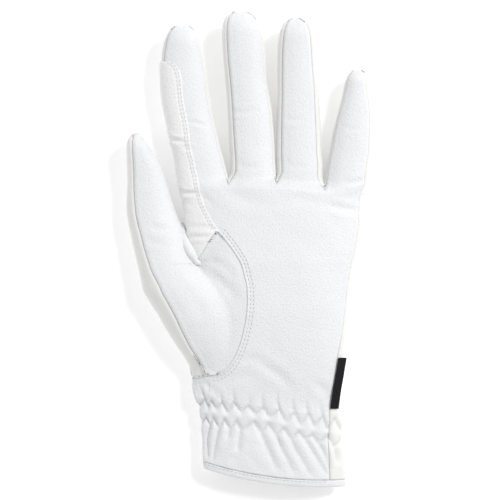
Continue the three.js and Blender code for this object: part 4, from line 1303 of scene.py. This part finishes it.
def thumb_front_grids():
    half = spread(THUMB_COLUMNS)
    whole = np.concatenate([half / 2, 0.5 + half[1:] / 2])
    below = [
        straight_row(thumb_start(n), seam_spot(n), whole, PALM_SIDE)
        for n in row_numbers(ROOT_ROW, THUMB_PARTS)
    ]
    horn = [
        straight_row(flap_spot(n), seam_spot(n + ROOT_ROW), half, PALM_SIDE)
        for n in row_numbers(LAST_FLAP_ROW, THUMB_PARTS)
    ]
    strip = []
    for at in thumb_ats:
        y = float(thumb_y(at))
        left, right = float(thumb_left(y)), float(thumb_right(y))
        front = row_of(thumb_seam(at), np.array([right, y]), half, PALM_SIDE, left, right)
        shares = np.linspace(0, 1, TURNED_COLUMNS + 1)[1:]
        angles = wrap_angle(right, thumb_under(at)[0], THUMB_WIDTH) * shares
        xs = right - THUMB_WIDTH / 2 * (1 - np.cos(angles))
        turned = on_side(np.column_stack([xs, np.full(len(xs), y)]), BACK_SIDE)
        strip.append(np.concatenate([front, turned]))
    below[-1] = np.concatenate([strip[0][:len(half)], horn[0][1:]])
    return [below, horn, strip]


def thumb_back_grids():
    flat_shares = spread(THUMB_BACK_COLUMNS)

    def row_to(start, seam):
        left = float(thumb_left(seam[1]))
        right = max(float(thumb_right(seam[1])), start[0])
        side = np.array([left, seam[1]])
        return np.concatenate([
            row_of(start, side, flat_shares, BACK_SIDE, left, right),
            wrap(left, seam, right - left),
        ])

    foot_row = np.concatenate([
        straight_row(foot_under, foot_side, flat_shares, BACK_SIDE),
        straight_row(foot_side, foot, spread(WRAP_COLUMNS)[1:], PALM_SIDE),
    ])
    numbers = row_numbers(ROOT_ROW, THUMB_PARTS, 1)
    below = [row_to(under_spot(n), thumb_start(n)) for n in numbers]
    above = [row_to(thumb_under(at), thumb_seam(at)) for at in thumb_ats[1:]]
    return [[foot_row] + between(foot_row, below[0], FOOT_ROWS) + below[1:] + above]


thumb_front = sheet("thumb_front_panel", "palm_leather", thumb_front_grids(), relief=thumb_relief)
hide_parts("thumb_front")
thumb_back = sheet("thumb_back_panel", "back_leather", thumb_back_grids())
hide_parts("thumb_back")

# %% [markdown]
# ## The lip in the crook of the thumb
# Where the thumb meets the index finger, the turned edge of the leather stands up as a small curled
# lip. It is too tight a curl for the panels' grids, so it is a short soft roll of its own.

# %% Sweep a section along a line
def turn(count):
    """Angles once round."""
    return np.linspace(0, 2 * np.pi, count, endpoint=False)


def circle(count):
    """Cosines and sines once round."""
    return np.column_stack([np.cos(turn(count)), np.sin(turn(count))])


def swept(centres, across, up, profile):
    """The points of a profile that is carried along, one ring of them at each centre."""
    rings = across[:, None] * profile[:, :1] + up[:, None] * profile[:, 1:]
    return (centres[:, None] + rings).reshape(-1, 3)


def tube_faces(rings, sides, loop=False):
    """The faces of such rings, closed by two caps or into a loop."""
    faces = []
    for ring in range(rings if loop else rings - 1):
        a, b = ring * sides, (ring + 1) % rings * sides
        for side in range(sides):
            k = (side + 1) % sides
            faces.append([a + side, b + side, b + k, a + k])
    if not loop:
        faces.append(list(range(sides)))
        faces.append([(rings - 1) * sides + side for side in reversed(range(sides))])
    return faces


def turned_over(faces):
    """Faces that look the other way."""
    return [[face[0], *face[:0:-1]] for face in faces]


def roll(path, radii, profile):
    """The points and faces of a soft roll along a line."""
    forward = np.gradient(path, axis=0)
    forward /= np.linalg.norm(forward, axis=1, keepdims=True)
    across = np.cross(forward, (0, 0, 1))
    across /= np.linalg.norm(across, axis=1, keepdims=True)
    up = np.cross(across, forward)
    points = swept(path, across * radii[:, None], up * radii[:, None], profile)
    return points, tube_faces(len(path), len(profile))


print("faces of a tube of four rings of six points:", len(tube_faces(4, 6)))

# %% Curl the lip
LIP_LINE = [(182, 222), (183.5, 232), (184.5, 240), (187, 246), (190, 251), (194, 257), (198, 262),
            (202, 265)]
LIP_HEIGHTS = [7.0, 8.2, 9.6, 10.7, 11.5, 12.2, 12.5, 12.0]
LIP_RADII = [1.1, 1.5, 2.0, 2.6, 2.8, 2.6, 2.1, 1.3]
LIP_SIDES, LIP_RINGS = 20, 40
LIP_WIDE, LIP_HIGH = 1.15, 1.5
LIP_TIP, LIP_BLUNT = 0.02, 6  # a higher power keeps the ends fuller
FOLD_DEPTH, FOLD_AT, FOLD_WIDTH = 0.28, 2.2, 0.3464
LIP_WAVE, LIP_WAVE_LONG = 0.35, 3.0


def curl_lip():
    line = soft_line([(*spot(*pixel), high) for pixel, high in zip(LIP_LINE, LIP_HEIGHTS)])
    along = np.linspace(0, 1, LIP_RINGS)
    centres = picked(along * (len(line) - 1), np.arange(len(line)), line)
    radii = np.interp(along, np.linspace(0, 1, len(LIP_RADII)), LIP_RADII)
    radii *= np.sqrt(np.maximum(LIP_TIP, 1 - (2 * along - 1) ** LIP_BLUNT))
    from_fold = np.mod(turn(LIP_SIDES) - FOLD_AT, 2 * np.pi) - np.pi
    fold = 1 - FOLD_DEPTH * bell(from_fold, FOLD_WIDTH)
    points, faces = roll(centres, radii, circle(LIP_SIDES) * (LIP_WIDE, LIP_HIGH) * fold[:, None])
    points[:, 2] += LIP_WAVE * waves(points, LIP_WAVE_LONG)
    return points, faces, np.zeros(len(points))


lip = make_piece("thumb_lip", "palm_leather", *curl_lip())
print("lip faces:", len(lip.data.polygons))

# %% [markdown]
# ## The side strips
# A narrow strip joins the sides of two neighbouring fingers and runs through the web between them.
# It gives the fingers their depth, and from above it shows as a thin band beside each finger.


# %% Rows of a side strip
STRIP_COLUMNS = 8


def side_row(i, edge, at):
    """From the seam on the back, round the outline, to the seam on the front."""
    finger = fingers[i]
    outline = finger_outline(finger, edge, at)
    rooted = min(1, at / STATIONS[1])
    halves = []
    for level, side in (("below", BACK_SIDE), ("above", PALM_SIDE)):
        seam = finger_seam(i, edge, level, at)
        angle = mix(np.arccos(1 - WEB_SEAM / WEB_DEPTH),
                    wrap_angle(outline[0], seam[0], finger.width), rooted)
        shares = (1 - np.cos(angle * spread(STRIP_COLUMNS))) / max(1 - np.cos(angle), SHORTEST)
        halves.append(straight_row(outline, seam, shares, side))
    return np.concatenate([halves[0][::-1], halves[1][1:]])


def side_strip(name, i):
    left_ats = finger_shares(fingers[i].length)
    right_ats = finger_shares(fingers[i + 1].length)
    rows = [side_row(i, "right", at) for at in reversed(left_ats)]
    rows += [side_row(i + 1, "left", at) for at in right_ats[1:]]
    return sheet(name, "back_leather", [rows])


STRIPS = ("index_middle", "middle_ring", "ring_little")
for number, gap_name in enumerate(STRIPS):
    strip_piece = side_strip(f"side_strip_{gap_name}", number)
    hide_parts(f"fourchette_{gap_name}")

# %% [markdown]
# ## The rein patch
# The rein runs between the fingers and over the side of the index finger, so the leather is doubled
# there. The patch lies on the glove and is held by two rows of stitching just inside its edge.

# %% The patch and the lines of its stitching
PATCH_LEATHER = 0.85
PATCH_LIFT = 0.95
PATCH_PARTS = 18
PATCH_COLUMNS = 42
EDGE_SINK, EDGE_ROLL = 0.5, 0.45
# painted shade at the patch's edge: how dark, and how wide
EDGE_PAINTED_SHADE, EDGE_SHADE_WIDTH = 0.3, 0.3
# the stitch grooves: how deep, how wide, and how dark their painted shade is
STITCH_GROOVE, GROOVE_WIDTH, GROOVE_PAINTED_SHADE = 0.35, 0.45, 0.4
STITCH_INSETS = (0.95, 2.45)  # of the two rows of stitching, from the patch's edge
LOOSE_ROWS = 4  # rows without stitches at the fingertip's end
PATCH_POINT_Y = hand_y(0.775)  # the patch's point, where its edge turns along the thumb's flap


def patch_place(number, shares):
    """Places across the patch at a row."""
    on_finger = patch_row.on_finger(number) > 0.5
    share = float(patch_row.at(number))
    if on_finger:
        finger, width = fingers[0], INDEX_WIDTH
        y = mix(finger.roots["left"][1], finger.tip_y, share)
        left = float(finger.left(y))
    else:
        y, width = float(hand_y(share)), HAND_WIDTH
        left = float(hand_left(y))
    start = -np.sign(patch_row.wrap(number)) * np.arccos(1 - 2 * abs(patch_row.wrap(number)))
    end = np.arccos(1 - 2 * patch_row.right(number))
    angles = mix(start, end, shares)
    xs = left + width / 2 * (1 - np.cos(angles))
    return np.column_stack([xs, np.full(len(xs), y), np.where(angles < 0, BACK_SIDE, PALM_SIDE)])


def patch_rows():
    """The finger's rows and the hand's follow different outlines, and are joined row by row."""
    finger_rows = np.count_nonzero(PATCH["on_finger"])
    last = len(PATCH["at"]) - 1
    shares = spread(PATCH_COLUMNS)
    on_finger = [patch_place(n, shares) for n in row_numbers(finger_rows - 1, PATCH_PARTS)]
    on_hand = [patch_place(n, shares) for n in row_numbers(last, PATCH_PARTS, finger_rows)]
    return on_finger + between(on_finger[-1], on_hand[0], PATCH_PARTS)[:-1] + on_hand


patch_grid = patch_rows()[::-1]
patch_edge = np.array([row[-1, :2] for row in patch_grid])
print("rows of the patch:", len(patch_grid))


# %% Lay the patch on the glove
def lines_inside_patch_edge():
    """The two rows of stitching, near the patch's edge."""
    middle_of = np.array([row[len(row) // 2, :2] for row in patch_grid])
    inward = middle_of - patch_edge
    inward /= np.linalg.norm(inward, axis=1, keepdims=True)
    return [patch_edge + inward * inset for inset in STITCH_INSETS]


patch_rim = tree_of([
    surface(on_side(patch_edge, PALM_SIDE))[0],
    surface(patch_grid[0])[0], surface(patch_grid[-1])[0],
    surface(np.array([row[0] for row in patch_grid]))[0],
])
patch_stitch_lines = [
    line[(line[:, 1] > PATCH_POINT_Y) & (np.arange(len(line)) < len(line) - LOOSE_ROWS)]
    for line in lines_inside_patch_edge()]
patch_grooves = tree_of([surface(on_side(line, PALM_SIDE))[0] for line in patch_stitch_lines])


def patch_relief(places, points):
    d = distances(patch_rim, points)
    groove = bell(distances(patch_grooves, points), GROOVE_WIDTH)
    heights = crease_relief(places) + wave_relief(points) + tuck_relief(points, flap_seam)
    heights -= EDGE_SINK * bell(d, EDGE_ROLL) + STITCH_GROOVE * groove
    # the second value is painted shade in the grooves and at the edge
    return heights, GROOVE_PAINTED_SHADE * groove + EDGE_PAINTED_SHADE * bell(d, EDGE_SHADE_WIDTH)


patch = sheet("rein_patch_panel", "patch_leather", [patch_grid],
              relief=patch_relief, lift=PATCH_LIFT, gap=0, thickness=PATCH_LEATHER)
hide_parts("rein_patch")

# %% [markdown]
# ## The hem's binding
# The hem is bound with a narrow strip folded over the raw edge and stitched through. Its section is
# a flat loop with round ends, swept around the opening.

# %% Sweep the binding
BINDING_SECTION = 20
BINDING_FLAT, BINDING_ROUND = 0.6, 0.75  # a lower power makes the section squarer
BINDING_WAVE, BINDING_WAVE_LONG = 0.12, 6
BINDING_FLOOR = 0.02


def squared(values, power):
    """A sine or cosine that stays longer near its ends."""
    return np.sign(values) * abs(values) ** power


def hem_ring(down):
    return np.concatenate([cuff_palm_row(0, down), cuff_back_row(0, down)[1:-1]])


def sweep_binding():
    tops, normals = surface(hem_ring(0.0))
    ends, _ = surface(hem_ring(BINDING_WIDTH))
    middles = (tops + ends) / 2 - normals * LEATHER / 2
    cosines, sines = circle(BINDING_SECTION).T
    profile = np.column_stack([squared(cosines, BINDING_FLAT), squared(sines, BINDING_ROUND)])
    points = swept(middles, (ends - tops) / 2, normals * (LEATHER / 2 + BINDING_PROUD), profile)
    points[:, 2] += BINDING_WAVE * waves(points, BINDING_WAVE_LONG)
    points[:, 2] = np.maximum(points[:, 2], BINDING_FLOOR)
    faces = turned_over(tube_faces(len(tops), BINDING_SECTION, loop=True))
    return points, faces, np.zeros(len(points))


binding = make_piece("hem_binding", "binding_leather", *sweep_binding())
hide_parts("cuff_binding")
print("binding faces:", len(binding.data.polygons))

# %% [markdown]
# ## The tab in the side seam
# A black ribbon is folded in half and caught in the right seam of the cuff. A weave is bump from
# two crossing waves, and the fold gives the free edge its roundness. The tab stays plain.

# %% Ribbon material
RIBBON_THREADS = 2600
CROSSING = 0.4  # how much lower the threads across are than those along
RIBBON_DARK, RIBBON_LIGHT = (0.004, 0.004, 0.005, 1), (0.014, 0.014, 0.016, 1)


def make_weave_group():
    tree, given, out = new_group(
        "plain_weave", [("Threads", "NodeSocketFloat", RIBBON_THREADS)],
        [("Height", "NodeSocketFloat")],
    )
    place = node(tree, "ShaderNodeTexCoord").outputs["Object"]
    wave = {"Vector": place, "Scale": given["Threads"]}
    across, along = (
        node(tree, "ShaderNodeTexWave", wave, bands_direction=direction).outputs["Fac"]
        for direction in ("X", "Y"))
    fill(tree, out["Height"], calculate(tree, "MULTIPLY_ADD", across, CROSSING, along))
    return tree


plain_weave = make_weave_group()
ribbon_tree, ribbon_shader = new_material("ribbon", {"Roughness": 0.6, "Specular IOR Level": 0.25})
weave = node(ribbon_tree, "ShaderNodeGroup", node_tree=plain_weave).outputs["Height"]
press(ribbon_tree, ribbon_shader, weave, 0.6, 0.0002)
fill(ribbon_tree, ribbon_shader.inputs["Base Color"],
     blend(ribbon_tree, "RGBA", weave, RIBBON_DARK, RIBBON_LIGHT))
print("ribbon nodes:", len(ribbon_tree.nodes))

# %% Fold the tab
TAB_LENGTH, TAB_WIDTH, TAB_THICKNESS = 26.5, 4.5, 1.0
TAB_START, TAB_DROOP, TAB_LIFT = 1.0, 0.2, 0.45
TAB_ROWS, TAB_SECTION = 48, 24
TAB_EDGE, TAB_FACE = 0.35, 0.45  # powers that make its section square
TAB_ROOT_THIN = 0.72
TAB_CURLS = [(0.22, 5.1), (0.1, 13)]  # height and rate of the waves in its free edge


def fold_tab():
    direction = np.array([1, 0, -TAB_DROOP]) / np.hypot(1, TAB_DROOP)
    normal = np.array([TAB_DROOP, 0, 1]) / np.hypot(1, TAB_DROOP)
    shares = np.linspace(0, 1, TAB_ROWS + 1)
    along_seam = [palm_right(y) for y in WRIST_Y + TAB_START + TAB_LENGTH * shares]
    bases, _ = surface(on_side(np.array(along_seam), PALM_SIDE))
    curls = sum(high * np.sin(shares * rate) for high, rate in TAB_CURLS)
    cosines, sines = circle(TAB_SECTION).T
    reach = TAB_WIDTH / 2 * (1 + squared(cosines, TAB_EDGE))
    full = squared(sines, TAB_FACE) * mix(TAB_ROOT_THIN, 1, reach / TAB_WIDTH)
    lift = TAB_LIFT + TAB_THICKNESS / 2 * (1 + full)
    across = direction + normal * curls[:, None] / TAB_WIDTH
    up = np.tile(normal, (len(bases), 1))
    points = swept(bases, across, up, np.column_stack([reach, lift]))
    return points, tube_faces(len(bases), TAB_SECTION)


tab = make_piece("side_tab", "ribbon", *fold_tab())
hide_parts("side_label")
print("tab faces:", len(tab.data.polygons))

# %% [markdown]
# ## Stitching
# Each stitch is a short thread that comes up through the leather, lies on it and goes down again.
# One function sews any line: it walks along it, and makes a small tapered tube for each stitch. All
# stitches of one seam are a single mesh. An array modifier along a curve would be quicker to set
# up, but its copies don't dip into the leather.

# %% Thread
THREAD_DARK, THREAD_LIGHT = (0.56, 0.56, 0.57, 1), (0.8, 0.8, 0.81, 1)
thread_tree, thread_shader = new_material("thread", {"Roughness": 0.6})
place = node(thread_tree, "ShaderNodeTexCoord").outputs["Object"]
twist = node(thread_tree, "ShaderNodeTexNoise", {"Vector": place, "Scale": 2500}).outputs[0]
fill(thread_tree, thread_shader.inputs["Base Color"],
     blend(thread_tree, "RGBA", twist, THREAD_DARK, THREAD_LIGHT))
press(thread_tree, thread_shader, twist, 0.4, 0.0001)
print("thread nodes:", len(thread_tree.nodes))

# %% The stitch maker
STITCH_SIDES, STITCH_RINGS = 6, 5
FIRST_STITCH = 0.3
THREAD_UP, THREAD_DIP, THREAD_END = 0.7, 1.3, 0.55  # in radii of the thread
stitch_along = np.linspace(-1, 1, STITCH_RINGS)
stitch_faces = turned_over(tube_faces(STITCH_RINGS, STITCH_SIDES))


def moved_up(faces, offset):
    """Faces whose points come after others in the same mesh."""
    return [[offset + i for i in face] for face in faces]


def sew(name, lines, pitch=2.1, filled=0.78, radius=0.2, relief=leather_relief, lift=0.0):
    """Stitches along lines on the palm's side of the glove."""
    stitches, faces = [], []
    sizes = radius * np.where(abs(stitch_along) < 1, 1, THREAD_END)[:, None]
    dip = radius * (THREAD_UP - THREAD_DIP * stitch_along**4)[:, None]
    for line in lines:
        places = on_side(resample(line), PALM_SIDE)
        base, normals = surface(places)
        heights, _ = relief(places, base)
        path = base + normals * (heights + lift)[:, None]
        walked = walked_along(path)
        for start in np.arange(FIRST_STITCH, walked[-1] - pitch, pitch):
            at = start + np.linspace(0, pitch * filled, STITCH_RINGS)
            up = picked(at, walked, normals)
            centres = picked(at, walked, path) + up * dip
            forward = centres[-1] - centres[0]
            across = np.cross(up, forward / np.linalg.norm(forward))
            faces += moved_up(stitch_faces, len(stitches) * STITCH_RINGS * STITCH_SIDES)
            stitches.append(swept(centres, across * sizes, up * sizes, circle(STITCH_SIDES)))
    make_piece(name, "thread", np.concatenate(stitches), faces)
    print(f"{name}: {len(stitches)} stitches")


# %% Sew the patch and the thumb
THUMB_STITCH_INSETS = (1.5, 3.1)


def beside_line(line, inset):
    """A line at a distance to the right of another."""
    line = resample(line, SIDE_STEP)
    ahead = np.gradient(line, axis=0)
    ahead /= np.linalg.norm(ahead, axis=1, keepdims=True)
    return line + np.column_stack([ahead[:, 1], -ahead[:, 0]]) * inset


sew("patch_stitches", patch_stitch_lines, relief=patch_relief, lift=PATCH_LIFT)
thumb_lines = [beside_line(palm_seam_spots, inset)[2:] for inset in THUMB_STITCH_INSETS]
sew("thumb_stitches", thumb_lines, relief=palm_relief)

# %% [markdown]
# ## The turned edges beside the thumb
# Where a panel's edge is turned in and lies on its neighbour, the fold shows as a thin bright line.
# The fold could be modelled in the panel itself, but its grid would need rows of a tenth of a
# millimetre there. A thin roll of the same leather along the edge shows the same line.

# %% Turn the edges beside the thumb
EDGE_STEP, EDGE_SIDES, EDGE_RADIUS = 0.6, 10, 0.32
EDGE_TAPER, EDGE_TIP = 4, 0.3  # steps over which an end thins out, and how thin it gets
FOOT_STEPS, FOOT_THICKER = 36, 0.9  # the palm's edge is thicker towards the thumb's foot
PALM_EDGE_IN, FLAP_EDGE_IN = 0.15, 0.1


def edge_roll(spots, relief, thicker=0.0):
    """A thin roll of leather that rests on the surface along a line of spots."""
    places = on_side(resample(spots, EDGE_STEP), PALM_SIDE)
    base, normals = surface(places)
    heights, _ = relief(places, base)
    steps = np.arange(len(base))
    ends = np.clip((np.minimum(steps, steps[::-1]) + 1) / EDGE_TAPER, EDGE_TIP, 1)
    radii = EDGE_RADIUS * (1 + thicker * bell(steps, FOOT_STEPS)) * ends
    return roll(base + normals * heights[:, None], radii, circle(EDGE_SIDES))


palm_edge = np.concatenate([[foot_side], beside_line(palm_seam_spots, PALM_EDGE_IN)])
edge_points, edge_faces = edge_roll(palm_edge, palm_relief, FOOT_THICKER)
flap_points, flap_faces = edge_roll(beside_line(flap_spots, FLAP_EDGE_IN), thumb_relief)
edge_faces += moved_up(flap_faces, len(edge_points))
edge_points = np.concatenate([edge_points, flap_points])
make_piece("turned_edges", "palm_leather", edge_points, edge_faces, np.zeros(len(edge_points)))
print("turned edges:", len(edge_faces), "faces")

# %% [markdown]
# ## The stitches of the wrist and the hem
# The zigzag holds the elastic, so its stitches are short and fine, and each dips into the valley
# that it draws in. The hem's stitches run along the middle of the binding, which stands proud.

# %% Sew the wrist and the hem
HEM_STITCH_DOWN = 0.9


def no_relief(places, points):
    """The binding is plain, so its stitches lie flat."""
    return np.zeros(len(points)), None


sew("wrist_stitches", zigzags, pitch=1.5, filled=0.62, radius=0.17)
hem_line = cuff_palm_row(0, HEM_STITCH_DOWN)[2:-2, :2]
sew("hem_stitches", [hem_line], relief=no_relief, lift=BINDING_PROUD)

# %% [markdown]
# ## Floor and light
# The photograph has a white ground and very even light, a little stronger from the upper right, so
# the left sides of the fingers are softly grey. One small lamp gives that side, a large weak one and
# the sky fill the rest, and the floor glows a little itself, as a light table does. Many lamps all
# round would be even too, but then the creases and gathers would hardly show.

# %% Floor
FLOOR_HALF, FLOOR_Z = 3.0, -0.0001
FLOOR_CORNERS = [(-1, -1), (1, -1), (1, 1), (-1, 1)]
floor_mesh = bpy.data.meshes.new("floor")
floor_mesh.from_pydata(
    [(x * FLOOR_HALF, y * FLOOR_HALF, FLOOR_Z) for x, y in FLOOR_CORNERS], [], [(0, 1, 2, 3)])
floor = bpy.data.objects.new("floor", floor_mesh)
bpy.context.scene.collection.objects.link(floor)
new_material("pale_floor", {
    "Base Color": (0.95, 0.95, 0.95, 1), "Roughness": 0.9,
    "Emission Color": (1, 1, 1, 1), "Emission Strength": 0.27,
})
floor_mesh.materials.append(materials["pale_floor"])
print("floor, in metres:", 2 * FLOOR_HALF)

# %% [markdown]
# Blender's usual view bends bright tones together, which would turn white leather on a white ground
# into one grey. The standard view keeps white as white, as a product photograph does.

# %% Lights
bpy.context.scene.view_settings.view_transform = "Standard"
GLOVE_MIDDLE = Vector((0, 0.02, 0))


def add_light(name, place, size, power):
    """A round lamp that shines on the middle of the glove."""
    data = bpy.data.lights.new(name, "AREA")
    data.shape, data.size, data.energy = "DISK", size, power
    light = bpy.data.objects.new(name, data)
    light.location = place
    light.rotation_euler = (GLOVE_MIDDLE - Vector(place)).to_track_quat("-Z", "Y").to_euler()
    bpy.context.scene.collection.objects.link(light)


add_light("key", (0.9, 0.68, 1.15), 0.45, 16)
add_light("fill", (-1.1, -0.1, 0.9), 1.2, 3)
world = bpy.data.worlds.new("studio")
world.use_nodes = True
sky = world.node_tree.nodes["Background"].inputs
sky["Color"].default_value = (0.99, 0.99, 1, 1)
sky["Strength"].default_value = 0.57
bpy.context.scene.world = world
